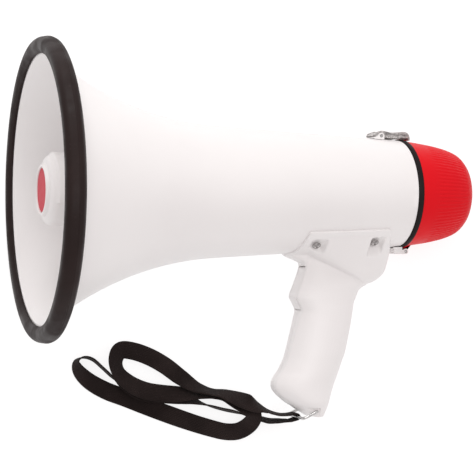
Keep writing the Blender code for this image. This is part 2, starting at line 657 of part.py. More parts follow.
# ---- strap -----------------------------------------------------------------------------------------
def smooth(points, steps):
    """Points on the Catmull-Rom curve through points, with steps to each stretch."""
    known = list(points)
    known = [2 * known[0] - known[1]] + known + [2 * known[-1] - known[-2]]
    curve = []
    for a, b, c, d in zip(known, known[1:], known[2:], known[3:]):
        for i in range(steps):
            t = i / steps
            curve.append(0.5 * (2 * b + (c - a) * t + (2 * a - 5 * b + 4 * c - d) * t * t
                                + (3 * b - a - 3 * c + d) * t ** 3))
    curve.append(known[-2])
    return curve


def ribbon(centres, widths):
    """Flat webbing along centres, with its width along the matching vector of widths."""
    sections = []
    last = len(centres) - 1
    for i, centre in enumerate(centres):
        along = (centres[min(i + 1, last)] - centres[max(i - 1, 0)]).normalized()
        across = (widths[i] - along * widths[i].dot(along)).normalized()
        face = along.cross(across)
        half, thick = across * STRAP_WIDTH / 2, face * STRAP_THICKNESS / 2
        sections.append([centre + half + thick, centre - half + thick, centre - half - thick,
                         centre + half - thick])
    return lofted(sections)


def webbing():
    """The length of strap that lies on the table."""
    stations = smooth([Vector(p) for p in STRAP_ROUTE], 2)
    centres = [station.to_3d() for station in stations]
    widths = []
    last = len(centres) - 1
    for i, station in enumerate(stations):
        along = centres[min(i + 1, last)] - centres[max(i - 1, 0)]
        level = along.cross(Vector((0, 0, 1))).normalized()
        lean = math.radians(station[3])
        widths.append(level * math.cos(lean) + Vector((0, 0, math.sin(lean))))
    add("strap_webbing", ribbon(centres, widths), webbing_black(), parent=None)


def strap_end_loop():
    """The stitched end of the strap, folded round the ring's bar."""
    pose = bpy.data.objects["rest_pose"].matrix_world
    bar = pose @ (Vector((RING_PIVOT[0] + RING_REACH[0], 0, RING_PIVOT[1] + RING_REACH[1])) * MM) / MM
    along_bar = (pose.to_3x3() @ Vector((0, 1, 0))).normalized()
    centre = bar + along_bar * LOOP_SLIDE
    away = Vector((-1, 0, 0))
    away = (away - along_bar * away.dot(along_bar)).normalized()
    side = away.cross(along_bar)
    turn = RING_WIRE + GAP + STRAP_THICKNESS / 2 + 0.2
    path = [centre + side * turn + away * 3.0]
    for i in range(9):
        a = math.pi * i / 8
        path.append(centre + side * turn * math.cos(a) - away * turn * math.sin(a))
    path.append(centre - side * turn + away * 3.0)
    add("strap_end_loop", ribbon(path, [along_bar] * len(path)), webbing_black(), parent=None)


# ---- the table ---------------------------------------------------------------------------------------
def resting_rotation():
    """The turn that lays the megaphone on its rim, its cap and the foot of its grip."""
    tilt = math.atan2(BELL_R - CAP_CONTACT[1], CAP_CONTACT[0] - RIM_WIDEST)
    reach = math.sin(tilt) * RIM_WIDEST + math.cos(tilt) * BELL_R
    x, y, z = GRIP_CONTACT
    needed = (reach - math.sin(tilt) * x) / math.cos(tilt)
    roll = math.atan2(-z, y) - math.acos(needed / math.hypot(y, z))
    down = Vector((math.sin(tilt), math.cos(tilt) * math.cos(roll), -math.cos(tilt) * math.sin(roll)))
    up = -down
    along = (Vector((1, 0, 0)) - up * up.x).normalized()
    return Matrix((along, up.cross(along), up))


def clear_scene():
    for found in list(bpy.data.objects):
        bpy.data.objects.remove(found, do_unlink=True)


def settle():
    """Put the lowest point on the table and the middle of the megaphone's box over the origin."""
    rest = bpy.data.objects["rest_pose"]
    bpy.context.view_layer.update()
    graph = bpy.context.evaluated_depsgraph_get()
    points = []
    for found in bpy.data.objects:
        if found.type != "MESH" or found.hide_render or found.parent != rest:
            continue
        shown = found.evaluated_get(graph)
        points += [shown.matrix_world @ v.co for v in shown.data.vertices]
    low = [min(p[i] for p in points) for i in range(3)]
    high = [max(p[i] for p in points) for i in range(3)]
    rest.location = (-(low[0] + high[0]) / 2, -(low[1] + high[1]) / 2, -low[2])


def main():
    clear_scene()
    rest = bpy.data.objects.new("rest_pose", None)
    bpy.context.collection.objects.link(rest)
    rest.matrix_world = resting_rotation().to_4x4()
    horn_shell()
    rim_bumper()
    folded_horn()
    driver()
    electronics()
    battery()
    gasket()
    rear_cap()
    controls()
    cap_hinge()
    latch()
    grip()
    trigger()
    strap_ring()
    settle()
    bpy.context.view_layer.update()
    webbing()
    strap_end_loop()


main()
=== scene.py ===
"""The looks of a handheld megaphone that lies on its side on a table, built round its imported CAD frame.

Rigid pieces are modelled in the horn's own frame, in millimetres: X runs back along the axis from the plane
of the bell's mouth, Z points to the latch side and Y to the right-hand side. The strap is modelled in the
row's frame, also in millimetres, because it lies on the table.
"""

import json
import math

import bmesh
import bpy
from mathutils import Matrix, Vector


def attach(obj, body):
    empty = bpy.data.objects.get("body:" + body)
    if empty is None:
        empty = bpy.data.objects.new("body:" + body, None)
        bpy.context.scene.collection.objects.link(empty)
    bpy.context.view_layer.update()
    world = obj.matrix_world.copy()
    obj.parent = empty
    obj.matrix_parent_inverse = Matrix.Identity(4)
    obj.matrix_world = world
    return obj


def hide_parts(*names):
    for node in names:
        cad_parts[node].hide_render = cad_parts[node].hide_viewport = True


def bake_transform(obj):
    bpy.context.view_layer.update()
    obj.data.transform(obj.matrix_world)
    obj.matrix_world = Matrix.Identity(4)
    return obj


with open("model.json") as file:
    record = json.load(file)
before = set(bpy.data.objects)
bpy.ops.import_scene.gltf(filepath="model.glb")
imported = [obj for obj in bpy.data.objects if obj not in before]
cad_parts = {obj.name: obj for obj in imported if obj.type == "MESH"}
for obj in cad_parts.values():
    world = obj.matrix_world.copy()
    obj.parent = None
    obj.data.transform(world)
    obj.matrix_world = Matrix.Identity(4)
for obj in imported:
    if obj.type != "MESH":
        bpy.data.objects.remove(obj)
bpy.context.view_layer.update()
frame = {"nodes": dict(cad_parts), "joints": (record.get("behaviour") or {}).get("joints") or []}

MM = 0.001
GAP = 0.3                  # clearance between pieces that touch
NODES = frame["nodes"]
JOINTS = {joint["name"]: joint for joint in frame["joints"]}

# ---- sizes from the CAD, in millimetres ----
BELL_R = 103.0
RIM_FRONT = -4.4
SHELL_REAR = 262.7
BARREL_R0, BARREL_TAPER = 52.7, 0.053       # the barrel's taper, carried forward to the mouth
FLARE_DEPTH, FLARE_GAIN, FLARE_POWER = 125.0, 39.3, 2.15
FLANGE_R = 97.0
WALL = 2.5
RUBBER_LIP_R = 91.3
DRUM_R, DRUM_FRONT, DRUM_REAR = 25.6, 3.0, 80.0
BOSS_R, DISC_R = 17.5, 14.8
CAP_FRONT, CAP_REAR, CAP_R = 267.1, 314.0, 38.6
DISH_R, DISH_S = 18.0, 310.8
SPIGOT_FRONT, SPIGOT_R = 261.5, 35.6
HINGE = (266.9, -41.9)
LEVER_PIVOT = (247.3, 41.5)
LINK_PIVOT = (244.4, 42.4)
TRIGGER_PIVOT = (198.0, -56.0)
RING_PIVOT = (195.2, -154.8)
RING_HALF, RING_WIRE = 14.5, 1.1
RING_REACH = (-10.6, -4.6)
KNOB_YZ, MIC_YZ, SLIDER_YZ = (5.5, -9.5), (0.0, 6.5), (-8.0, -9.0)
SCREW_X, SCREW_ANGLE = (190.0, 235.0), 34.0
CELL_R, CELL_LENGTH, CELL_PITCH, CELLS_FRONT = 13.0, 50.0, 14.2, 155.0

STRAP_WIDTH = 12.7         # half-inch webbing
STRAP_THICKNESS = 1.3
WARP_PITCH, WEFT_PITCH = 1.15, 1.5          # between ribs across the webbing, and picks along it
LOOP_SLIDE = 3.0           # how far down the ring's bar the strap has slid

# The strap's route over the table, as the CAD has it: (x, y, z, lean) in the row's frame.
# lean is the angle in degrees between the webbing's width and the table.
STRAP_ROUTE = [
    (24.2, -123.9, 16.7, -74), (21.2, -124, 17, -74), (16.5, -123.1, 15, -74), (10.5, -120.4, 11.8, -72),
    (4, -117.2, 14.2, -58),
    (-4.5, -114, 20.2, -20), (-12, -109.5, 15.6, -30), (-20, -105, 9.8, -50), (-28, -103, 7.9, -58),
    (-35, -100.5, 7.9, -52), (-43, -96.5, 8.2, -36), (-51.5, -89.5, 6.6, -14), (-61, -81, 6.2, -4),
    (-72, -74, 7.8, 2), (-83.5, -69.5, 10.4, 8), (-92.5, -69, 13.2, 24), (-96.5, -76, 15.2, 38),
    (-95, -85, 16.2, 36), (-87.5, -93.5, 15.4, 18), (-76.5, -99, 12.2, 6), (-63.5, -101.5, 9.4, 8),
    (-52, -102.5, 8, 22), (-42.5, -103, 7.4, 42), (-34.5, -104, 6.4, 54), (-27.5, -105, 6.4, 58),
    (-19, -107, 8.2, 48), (-11.5, -112, 12.4, 26), (-5, -117.5, 16.8, 20), (-1.5, -123, 17.6, 22),
    (-4.5, -128.5, 13.8, 26), (-12, -132, 8.2, 28), (-21, -131.5, 4.5, 28), (-32, -128, 3.8, 26),
    (-46, -122.5, 3.4, 22), (-61.5, -115.5, 1.9, 9), (-76.5, -108.5, 1.5, 5), (-91, -101.5, 1.5, 5),
    (-104.5, -95.5, 2.9, 18), (-116, -88, 4.2, 32), (-123, -80, 5.7, 50), (-124, -73.5, 6.7, 68),
    (-119, -71, 7, 84), (-112.5, -73, 7, 90), (-106, -79.5, 7, 90), (-99.5, -86.5, 7, 88),
    (-93, -93, 7, 66), (-84.5, -97.5, 6.3, 34), (-74.5, -100, 4.8, 8), (-63, -101.5, 3.7, 3),
    (-53, -103.5, 3.8, 18), (-45.5, -106.5, 5.2, 44), (-39, -109.5, 6.5, 68), (-31, -112.5, 7, 84),
    (-22.5, -115.5, 7, 88), (-14, -118, 7, 88), (-5.5, -121, 6.9, 76), (3.5, -124, 6.7, 66),
    (10, -126.4, 8.6, 66), (16.5, -127.8, 13, 70), (21.2, -128.3, 15.6, 74), (24.2, -128.3, 15.5, 74),
]


def horn_frame():
    """The horn's own axes as it lies, read from the joints that turn about them."""
    side = Vector(JOINTS["rear_cap_hinge"]["axis"])
    back = Vector(JOINTS["volume_turn"]["axis"])
    up = Vector(JOINTS["mode_slide"]["axis"])
    turn = Matrix((back, side, up)).transposed()
    hinge = Vector(JOINTS["rear_cap_hinge"]["pos_m"])
    return Matrix.Translation(hinge - turn @ Vector((HINGE[0], 0, HINGE[1])) * MM) @ turn.to_4x4()


HORN = horn_frame()


# ---- materials ----
class Look:
    """A Principled material under construction, with the few node recipes this object needs."""

    def __init__(self, name, colour, roughness, metallic=0.0, **sockets):
        self.made = bpy.data.materials.new(name)
        self.made.use_nodes = True
        self.made.diffuse_color = (*colour, 1.0)
        self.tree = self.made.node_tree
        self.shader = self.tree.nodes["Principled BSDF"]
        self.shader.inputs["Base Color"].default_value = (*colour, 1.0)
        self.shader.inputs["Roughness"].default_value = roughness
        self.shader.inputs["Metallic"].default_value = metallic
        for label, value in sockets.items():
            self.shader.inputs[label.replace("_", " ")].default_value = value
        self.place = self.node("ShaderNodeTexCoord").outputs["Object"]
        self.normal = None

    def node(self, kind, **settings):
        made = self.tree.nodes.new(kind)
        for label, value in settings.items():
            setattr(made, label, value)
        return made

    def link(self, source, target):
        self.tree.links.new(source, target)

    def noise(self, scale, detail=3.0, roughness=0.5):
        """Noise over the surface; scale is in features to the metre."""
        made = self.node("ShaderNodeTexNoise")
        made.inputs["Scale"].default_value = scale
        made.inputs["Detail"].default_value = detail
        made.inputs["Roughness"].default_value = roughness
        self.link(self.place, made.inputs["Vector"])
        return made.outputs["Fac"]

    def cells(self, scale, feature="F1"):
        made = self.node("ShaderNodeTexVoronoi", feature=feature)
        made.inputs["Scale"].default_value = scale
        self.link(self.place, made.inputs["Vector"])
        return made.outputs["Distance"]

    def ramp(self, source, low, high, start=0.0, end=1.0):
        """Source from low to high, remapped to the range from start to end."""
        made = self.node("ShaderNodeMapRange", interpolation_type="SMOOTHSTEP")
        for label, value in (("From Min", low), ("From Max", high), ("To Min", start), ("To Max", end)):
            made.inputs[label].default_value = value
        self.link(source, made.inputs["Value"])
        return made.outputs["Result"]

    def mix(self, factor, first, second):
        """Two colours, or outputs, mixed by factor."""
        made = self.node("ShaderNodeMix", data_type="RGBA")
        self.link(factor, made.inputs["Factor"])
        for value, target in ((first, made.inputs["A"]), (second, made.inputs["B"])):
            if isinstance(value, tuple):
                target.default_value = (*value, 1.0)
            else:
                self.link(value, target)
        return made.outputs["Result"]

    def maths(self, operation, first, second=0.0):
        made = self.node("ShaderNodeMath", operation=operation)
        for value, target in ((first, made.inputs[0]), (second, made.inputs[1])):
            if isinstance(value, (int, float)):
                target.default_value = value
            else:
                self.link(value, target)
        return made.outputs["Value"]

    def colour(self, source):
        self.link(source, self.shader.inputs["Base Color"])

    def roughness(self, source):
        self.link(source, self.shader.inputs["Roughness"])

    def bump(self, height, distance_mm, strength=1.0):
        """Adds relief distance_mm high; calls stack."""
        made = self.node("ShaderNodeBump")
        made.inputs["Distance"].default_value = distance_mm * MM
        made.inputs["Strength"].default_value = strength
        self.link(height, made.inputs["Height"])
        if self.normal:
            self.link(self.normal, made.inputs["Normal"])
        self.normal = made.outputs["Normal"]
        self.link(self.normal, self.shader.inputs["Normal"])


def moulded(name, colour, shade, roughness, peel=0.02, specular=0.4):
    """Injection-moulded plastic: a faint orange peel, slow colour drift and handling marks in the gloss."""
    look = Look(name, colour, roughness, Specular_IOR_Level=specular)
    drift = look.ramp(look.noise(14.0, 4.0), 0.35, 0.75)
    specks = look.ramp(look.cells(2600.0), 0.0, 0.08, 1.0, 0.0)
    sparse = look.maths("MULTIPLY", specks, look.ramp(look.noise(240.0, 2.0), 0.60, 0.72))
    look.colour(look.mix(sparse, look.mix(drift, colour, shade), tuple(c * 0.72 for c in colour)))
    smears = look.ramp(look.noise(60.0, 6.0, 0.65), 0.3, 0.8, roughness - 0.05, roughness + 0.10)
    look.roughness(smears)
    look.bump(look.noise(1400.0, 2.0), peel)
    look.bump(look.noise(90.0, 3.0), peel * 3.0, 0.5)
    return look.made


def rubber(name, colour, roughness):
    """Moulded rubber: fine pitting, a dusty bloom and faint scuffs."""
    look = Look(name, colour, roughness, Specular_IOR_Level=0.14)
    bloom = look.ramp(look.noise(26.0, 6.0, 0.6), 0.40, 0.78)
    dusty = tuple(c * 1.35 + 0.001 for c in colour)
    scuffs = look.ramp(look.noise(420.0, 5.0, 0.7), 0.60, 0.74)
    look.colour(look.mix(look.maths("MULTIPLY", scuffs, 0.6), look.mix(bloom, colour, dusty),
                         tuple(c * 2.0 + 0.006 for c in colour)))
    look.roughness(look.ramp(look.noise(75.0, 5.0), 0.3, 0.75, roughness - 0.10, roughness + 0.14))
    look.bump(look.cells(1900.0), 0.03, 0.7)
    look.bump(look.noise(260.0, 4.0), 0.06, 0.6)
    return look.made


def cast_alloy():
    """The latch's dull grey casting: mottled plating, pits and worn high spots."""
    dark, light = (0.26, 0.245, 0.24), (0.60, 0.575, 0.565)
    look = Look("latch_casting", light, 0.55, 0.35)
    mottle = look.ramp(look.noise(780.0, 5.0, 0.62), 0.40, 0.62)
    patches = look.ramp(look.noise(170.0, 3.0), 0.38, 0.66)
    look.colour(look.mix(mottle, look.mix(patches, dark, (0.42, 0.40, 0.39)), light))
    look.roughness(look.ramp(look.noise(520.0, 4.0), 0.3, 0.7, 0.34, 0.62))
    look.bump(look.noise(1500.0, 4.0, 0.6), 0.12, 0.8)
    look.bump(look.cells(700.0), 0.08, 0.5)
    return look.made


def plated(name, colour, roughness):
    """Plated steel with fine drawn scratches and small dull patches."""
    look = Look(name, colour, roughness, 1.0)
    dull = look.ramp(look.noise(350.0, 4.0), 0.42, 0.72)
    look.colour(look.mix(dull, colour, tuple(c * 0.7 for c in colour)))
    look.roughness(look.ramp(look.noise(900.0, 4.0), 0.3, 0.75, roughness - 0.06, roughness + 0.16))
    look.bump(look.noise(2600.0, 3.0), 0.015)
    return look.made


def woven():
    """Black webbing. The weave runs by the strap's own map: U along it and V across it, in millimetres."""
    yarn, hollow_shade = (0.019, 0.0125, 0.0115), (0.005, 0.0035, 0.0035)
    look = Look("strap_weave", yarn, 0.82, Sheen_Weight=0.03, Sheen_Roughness=0.45, Specular_IOR_Level=0.12)
    place = look.node("ShaderNodeUVMap", uv_map="weave").outputs["UV"]
    split = look.node("ShaderNodeSeparateXYZ")
    look.link(place, split.inputs["Vector"])
    along, across = split.outputs["X"], split.outputs["Y"]
    # each rib of warp leans over and back under the weft, half a pick out of step with its neighbours
    rib = look.maths("MULTIPLY", across, 2 * math.pi / WARP_PITCH)
    pick = look.maths("MULTIPLY", along, 2 * math.pi / WEFT_PITCH)
    ribs = look.maths("ABSOLUTE", look.maths("SINE", look.maths("MULTIPLY", rib, 0.5)))
    stagger = look.maths("MULTIPLY", look.maths("FLOOR", look.maths("DIVIDE", across, WARP_PITCH)), math.pi)
    picks = look.ramp(look.maths("SINE", look.maths("ADD", pick, stagger)), -1.0, 1.0)
    height = look.maths("MULTIPLY", look.maths("POWER", ribs, 0.6), look.maths("ADD", picks, 0.6))
    fuzz = look.noise(1600.0, 4.0, 0.7)
    faded = look.ramp(look.noise(40.0, 4.0), 0.35, 0.7)
    thread = look.mix(faded, yarn, tuple(c * 1.5 + 0.002 for c in yarn))
    # the weave's low parts, between ribs and picks, take a darker colour: painted shade in its hollows
    look.colour(look.mix(look.ramp(height, 0.15, 0.75), hollow_shade, thread))
    look.roughness(look.ramp(fuzz, 0.3, 0.7, 0.74, 0.92))
    look.bump(height, 0.22, 0.9)
    look.bump(fuzz, 0.08, 0.6)
    return look.made


def printed_board():
    """Green solder resist over copper, with tracks and pads showing through."""
    look = Look("board_resist", (0.03, 0.20, 0.08), 0.4, Coat_Weight=0.3)
    tracks = look.ramp(look.cells(330.0, "DISTANCE_TO_EDGE"), 0.03, 0.06, 1.0, 0.0)
    look.colour(look.mix(tracks, (0.02, 0.15, 0.06), (0.06, 0.30, 0.13)))
    look.roughness(look.ramp(look.noise(200.0, 4.0), 0.3, 0.7, 0.32, 0.48))
    look.bump(tracks, 0.04)
    return look.made


WHITE = moulded("white_moulding", (0.885, 0.862, 0.858), (0.86, 0.835, 0.832), 0.40)
WHITE_INNER = moulded("white_horn_inside", (0.87, 0.845, 0.84), (0.845, 0.82, 0.815), 0.46)
RED = moulded("red_moulding", (0.77, 0.007, 0.013), (0.70, 0.006, 0.013), 0.42, 0.02, 0.10)
# the nose disc is the cap's red moulding, painted darker and pinker: painted shade from the bell and a
# painted reflection of the room
RED_DISC_PAINTED_SHADE_AND_REFLECTION = moulded("red_disc_painted_shade_and_reflection", (0.61, 0.045, 0.070), (0.52, 0.035, 0.058), 0.50, 0.02, 0.12)
BLACK = moulded("black_moulding", (0.030, 0.027, 0.028), (0.05, 0.046, 0.047), 0.50, 0.03, 0.3)
RIM_RUBBER = rubber("rim_rubber", (0.019, 0.0112, 0.0105), 0.50)
SEAL_RUBBER = rubber("seal_rubber", (0.012, 0.009, 0.009), 0.62)
CASTING = cast_alloy()
STEEL = plated("plated_steel", (0.66, 0.655, 0.65), 0.24)
SCREW_STEEL = plated("screw_steel", (0.42, 0.40, 0.395), 0.34)
BRASS = plated("contact_brass", (0.75, 0.58, 0.27), 0.32)
ALUMINIUM = plated("plain_aluminium", (0.70, 0.70, 0.71), 0.36)
FERRITE = rubber("sintered_ferrite", (0.05, 0.05, 0.055), 0.6)
CELL_WRAP = moulded("cell_sleeve", (0.05, 0.16, 0.45), (0.04, 0.12, 0.38), 0.35, 0.01, 0.5)
BOARD = printed_board()
WEAVE = woven()


# ---- outlines ----
def smooth(points, steps):
    """Points on the Catmull-Rom curve through points, with steps to each stretch."""
    known = [Vector(p) for p in points]
    known = [2 * known[0] - known[1]] + known + [2 * known[-1] - known[-2]]
    curve = []
    for a, b, c, d in zip(known, known[1:], known[2:], known[3:]):
        for i in range(steps):
            t = i / steps
            curve.append(0.5 * (2 * b + (c - a) * t + (2 * a - 5 * b + 4 * c - d) * t * t
                                + (3 * b - a - 3 * c + d) * t ** 3))
    curve.append(known[-2])
    return curve


def filleted(outline, radius, steps=4, closed=True):
    """An outline whose corners are rounded; radius is one number, or one for each point."""
    points = [Vector(p) for p in outline]
    count = len(points)
    radii = radius if isinstance(radius, (list, tuple)) else [radius] * count
    made = []
    for i, point in enumerate(points):
        if (not closed and i in (0, count - 1)) or radii[i] <= 0:
            made.append(point)
            continue
        before, after = points[i - 1] - point, points[(i + 1) % count] - point
        cut = min(radii[i], before.length * 0.49, after.length * 0.49)
        start, end = point + before.normalized() * cut, point + after.normalized() * cut
        for k in range(steps + 1):
            t = k / steps
            made.append(start * (1 - t) ** 2 + point * 2 * t * (1 - t) + end * t * t)
    return made


def arc(centre, radius, start, end, count):
    """Points on a circle in the X-Z plane; angles in degrees, from +X towards +Z."""
    return [(centre[0] + radius * math.cos(a), centre[1] + radius * math.sin(a))
            for a in (math.radians(start + (end - start) * i / (count - 1)) for i in range(count))]


# ---- meshes: each returns a bmesh in the horn's frame, in millimetres ----
def skin(rings, loop=False):
    """Faces between rings of equally many points. The ends are closed, or joined where loop is set."""
    bm = bmesh.new()
    rows = [[bm.verts.new(p) for p in ring] for ring in rings]
    count = len(rows[0])
    pairs = list(zip(rows, rows[1:])) + ([(rows[-1], rows[0])] if loop else [])
    for first, second in pairs:
        for k in range(count):
            n = (k + 1) % count
            bm.faces.new((first[k], first[n], second[n], second[k]))
    if not loop:
        bm.faces.new(rows[0])
        bm.faces.new(rows[-1])
    bmesh.ops.recalc_face_normals(bm, faces=bm.faces)
    return bm


def turned(profile, segments=160, centre=(0.0, 0.0), shape=None):
    """A solid of revolution about the X direction through centre. profile lists (x, radius); shape, if
    given, changes each point's radius: shape(x, radius, angle from the top)."""
    points = [(p[0], max(p[1], 0.0)) for p in profile]
    bm = bmesh.new()
    rows = []
    for x, radius in points:
        if radius < 1e-6:
            rows.append([bm.verts.new((x, centre[0], centre[1]))])
            continue
        row = []
        for i in range(segments):
            a = 2 * math.pi * i / segments
            r = shape(x, radius, a) if shape else radius
            row.append(bm.verts.new((x, centre[0] + r * math.sin(a), centre[1] + r * math.cos(a))))
        rows.append(row)
    pairs = list(zip(rows, rows[1:]))
    if points[0][1] > 0:
        pairs.append((rows[-1], rows[0]))
    for first, second in pairs:
        for i in range(segments):
            j = (i + 1) % segments
            corners = [first[i % len(first)], first[j % len(first)], second[j % len(second)],
                       second[i % len(second)]]
            bm.faces.new(list(dict.fromkeys(corners)))
    bmesh.ops.recalc_face_normals(bm, faces=bm.faces)
    return bm


def plate(outline, y0, y1):
    """An outline of (x, z) points, made solid from y0 to y1."""
    return skin([[(p[0], y, p[1]) for p in outline] for y in (y0, y1)])


def block(x, y, z):
    bm = bmesh.new()
    centre = Vector((sum(x), sum(y), sum(z))) / 2
    size = Matrix.Diagonal((x[1] - x[0], y[1] - y[0], z[1] - z[0], 1.0))
    bmesh.ops.create_cube(bm, size=1.0, matrix=Matrix.Translation(centre) @ size)
    return bm


def rod(start, end, radius, segments):
    a, b = Vector(start), Vector(end)
    turn = (b - a).to_track_quat("Z", "Y").to_matrix().to_4x4()
    bm = bmesh.new()
    bmesh.ops.create_cone(bm, cap_ends=True, segments=segments, radius1=radius, radius2=radius,
                          depth=(b - a).length, matrix=Matrix.Translation((a + b) / 2) @ turn)
    return bm


def wire(points, radius):
    """A round wire along points, with rounded ends."""
    sides = 16
    path = [Vector(p) for p in points]
    rings = []
    side = (path[1] - path[0]).orthogonal().normalized()
    last = len(path) - 1
    for i, point in enumerate(path):
        along = (path[min(i + 1, last)] - path[max(i - 1, 0)]).normalized()
        side = (side - along * side.dot(along)).normalized()
        other = along.cross(side)
        r = radius * (0.6 if i in (0, last) else 1.0)
        rings.append([point + (side * math.cos(a) + other * math.sin(a)) * r
                      for a in (2 * math.pi * k / sides for k in range(sides))])
    return skin(rings)


def joined(*parts):
    """Several bmeshes in one, left as separate solids."""
    whole = bmesh.new()
    for part in parts:
        kept = bpy.data.meshes.new("part")
        part.to_mesh(kept)
        part.free()
        whole.from_mesh(kept)
        bpy.data.meshes.remove(kept)
    return whole


# ---- pieces ----
def piece(name, bm, look, body, replaced=(), bevel=0.0, sharp=35.0, place=HORN):
    """A finished piece: bm in millimetres in the frame place, riding on body."""
    bmesh.ops.scale(bm, verts=bm.verts, vec=(MM, MM, MM))
    mesh = bpy.data.meshes.new(name)
    bm.to_mesh(mesh)
    bm.free()
    mesh.transform(place)
    mesh.shade_smooth()
    mesh.set_sharp_from_angle(angle=math.radians(sharp))
    mesh.materials.append(look)
    made = bpy.data.objects.new(name, mesh)
    bpy.context.scene.collection.objects.link(made)
    if bevel:
        rounding = made.modifiers.new("bevel", "BEVEL")
        rounding.width = bevel * MM
        rounding.segments = 3
        rounding.limit_method = "ANGLE"
        rounding.angle_limit = math.radians(sharp)
        rounding.harden_normals = True
    if body:
        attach(made, body)
    if replaced:
        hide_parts(*replaced)
    return made


def boolean(target, other, operation):
    """Combines two objects and keeps the result in target's mesh."""
    change = target.modifiers.new("combine", "BOOLEAN")
    change.operation = operation
    change.solver = "MANIFOLD"
    change.object = other
    bake(target)
    bpy.data.objects.remove(other, do_unlink=True)


def bake(target):
    """Applies an object's modifiers."""
    bpy.context.view_layer.update()
    graph = bpy.context.evaluated_depsgraph_get()
    mesh = bpy.data.meshes.new_from_object(target.evaluated_get(graph), depsgraph=graph)
    target.modifiers.clear()
    target.data = mesh


def guide(bm):
    """A helper body for Booleans, in millimetres in the horn's frame."""
    return piece("guide", bm, WHITE, None)


def redress(node, look, bevel=0.0):
    """Keeps a CAD node, with a detailed material and softened edges."""
    kept = NODES[node]
    kept.data.materials.clear()
    kept.data.materials.append(look)
    if bevel:
        rounding = kept.modifiers.new("bevel", "BEVEL")
        rounding.width = bevel * MM
        rounding.segments = 2
        rounding.limit_method = "ANGLE"
        rounding.angle_limit = math.radians(40)


# ---- the horn ----
def shell_radius(x):
    """Outside radius of the shell: a gently tapered barrel and, towards the mouth, its flare."""
    flare = max(0.0, 1.0 - x / FLARE_DEPTH)
    return BARREL_R0 - BARREL_TAPER * x + FLARE_GAIN * flare ** FLARE_POWER


def inner_radius(x):
    slope = shell_radius(x + 0.5) - shell_radius(x - 0.5)
    return shell_radius(x) - WALL * math.sqrt(1 + slope * slope)


def horn_shell():
    mouth, neck, end = -0.9, 4.5, 262.0     # the front face, the flange's back, where the rear edge starts
    stations = [neck + (end - neck) * (i / 70) ** 1.35 for i in range(71)]
    outer = [(x, shell_radius(x)) for x in stations]
    back = filleted([(end, shell_radius(end)), (SHELL_REAR, shell_radius(SHELL_REAR)),
                     (SHELL_REAR, inner_radius(SHELL_REAR)), (end, inner_radius(end))], 0.6, closed=False)
    inner = [(x, inner_radius(x)) for x in reversed(stations)]
    front = [(mouth, RUBBER_LIP_R - 0.9), (mouth, FLANGE_R), (neck, FLANGE_R)]
    piece("horn_skin", turned(front + outer + [tuple(p) for p in back] + inner, 224), WHITE, "shell",
          ["horn_shell"])


def rim_bumper():
    """The rubber rim: a flat front, a rounded shoulder and a shallow groove where the mould parted."""
    face = RIM_FRONT - 0.6
    profile = [(-1.1, RUBBER_LIP_R), (-2.6, RUBBER_LIP_R + 0.3), (face, 94.6), (face, 99.8),
               (-2.2, 102.2), (2.6, BELL_R), (3.0, BELL_R - 0.25), (3.4, BELL_R), (6.6, 101.9),
               (8.4, 98.4), (8.8, 95.4), (8.6, 92.8), (8.0, 90.6), (4.8, 93.2), (4.8, 97.3), (-1.1, 97.3)]
    radii = [0.3, 1.2, 1.8, 2.6, 2.8, 0.15, 0.2, 0.15, 2.6, 2.2, 1.5, 1.2, 0.3, 0, 0, 0]
    piece("rim_rubber", turned(filleted(profile, radii, 6), 288), RIM_RUBBER, "shell", ["rim_bumper"])


DRUM_LIFT = 1.5            # how far the drum's upper cover stands out from its core
DRUM_COVER = 112.0         # the cover reaches this far round from the top, in degrees
DRUM_COVER_FRONT = 6.2


def ease(value, low, high):
    t = min(1.0, max(0.0, (value - low) / (high - low)))
    return t * t * (3 - 2 * t)


def drum_shape(x, radius, angle):
    """The drum's cover: a raised skin over its top and sides."""
    if radius < 20:
        return radius
    turn = abs(math.degrees(math.atan2(math.sin(angle), math.cos(angle))))
    round_top = ease(-turn, -DRUM_COVER - 1.4, -DRUM_COVER + 1.0)
    behind_front = ease(x, DRUM_COVER_FRONT, DRUM_COVER_FRONT + 1.6)
    return radius + DRUM_LIFT * (round_top * behind_front)


def folded_horn():
    core = DRUM_R - DRUM_LIFT
    shoulder = 5.0
    front = [(DRUM_FRONT - 1.0, 0), (DRUM_FRONT - 1.0, DISC_R + 0.25), (DRUM_FRONT - 2.6, DISC_R + 0.5),
             (DRUM_FRONT - 2.6, BOSS_R - 0.4), (DRUM_FRONT - 0.2, BOSS_R + 0.3),
             (DRUM_FRONT, core - shoulder)]
    front = [tuple(p) for p in filleted(front, [0, 0, 0.6, 0.9, 0.8, 0], 5, closed=False)]
    curve = [(DRUM_FRONT + shoulder - shoulder * math.cos(a), core - shoulder + shoulder * math.sin(a))
             for a in (math.pi / 2 * i / 12 for i in range(1, 13))]
    side = [(DRUM_FRONT + shoulder + (DRUM_REAR - DRUM_FRONT - shoulder) * (i / 30) ** 1.4, core)
            for i in range(1, 31)]
    back = [(DRUM_REAR, DRUM_R - 2.2), (10, DRUM_R - 3.6), (6, 18), (6, 0)]
    piece("drum", turned(front + curve + side + back, 480, shape=drum_shape), WHITE_INNER, "shell",
          ["reflector_cup"])
    disc = [(DRUM_FRONT - 2.0, 0), (DRUM_FRONT - 1.9, DISC_R - 2.0), (DRUM_FRONT - 1.75, DISC_R),
            (DRUM_FRONT - 1.2, DISC_R + 0.1), (DRUM_FRONT - 1.2, 0)]
    badge = turned(filleted(disc, [0, 0.5, 0.25, 0, 0], 4), 128)
    piece("nose_badge", badge, RED_DISC_PAINTED_SHADE_AND_REFLECTION, "shell", ["nose_disc"])
    lip = inner_radius(97.0) - 0.3
    throat = [(24, 14), (60, 11), (97, 9), (97, lip), (94, lip), (93, 30), (88, 17), (60, 13), (24, 16)]
    tube = turned(filleted(throat, [0.8, 5, 0.5, 0, 0.3, 6, 8, 8, 0.8], 5), 128)
    piece("throat", tube, WHITE_INNER, "shell", ["horn_throat"])


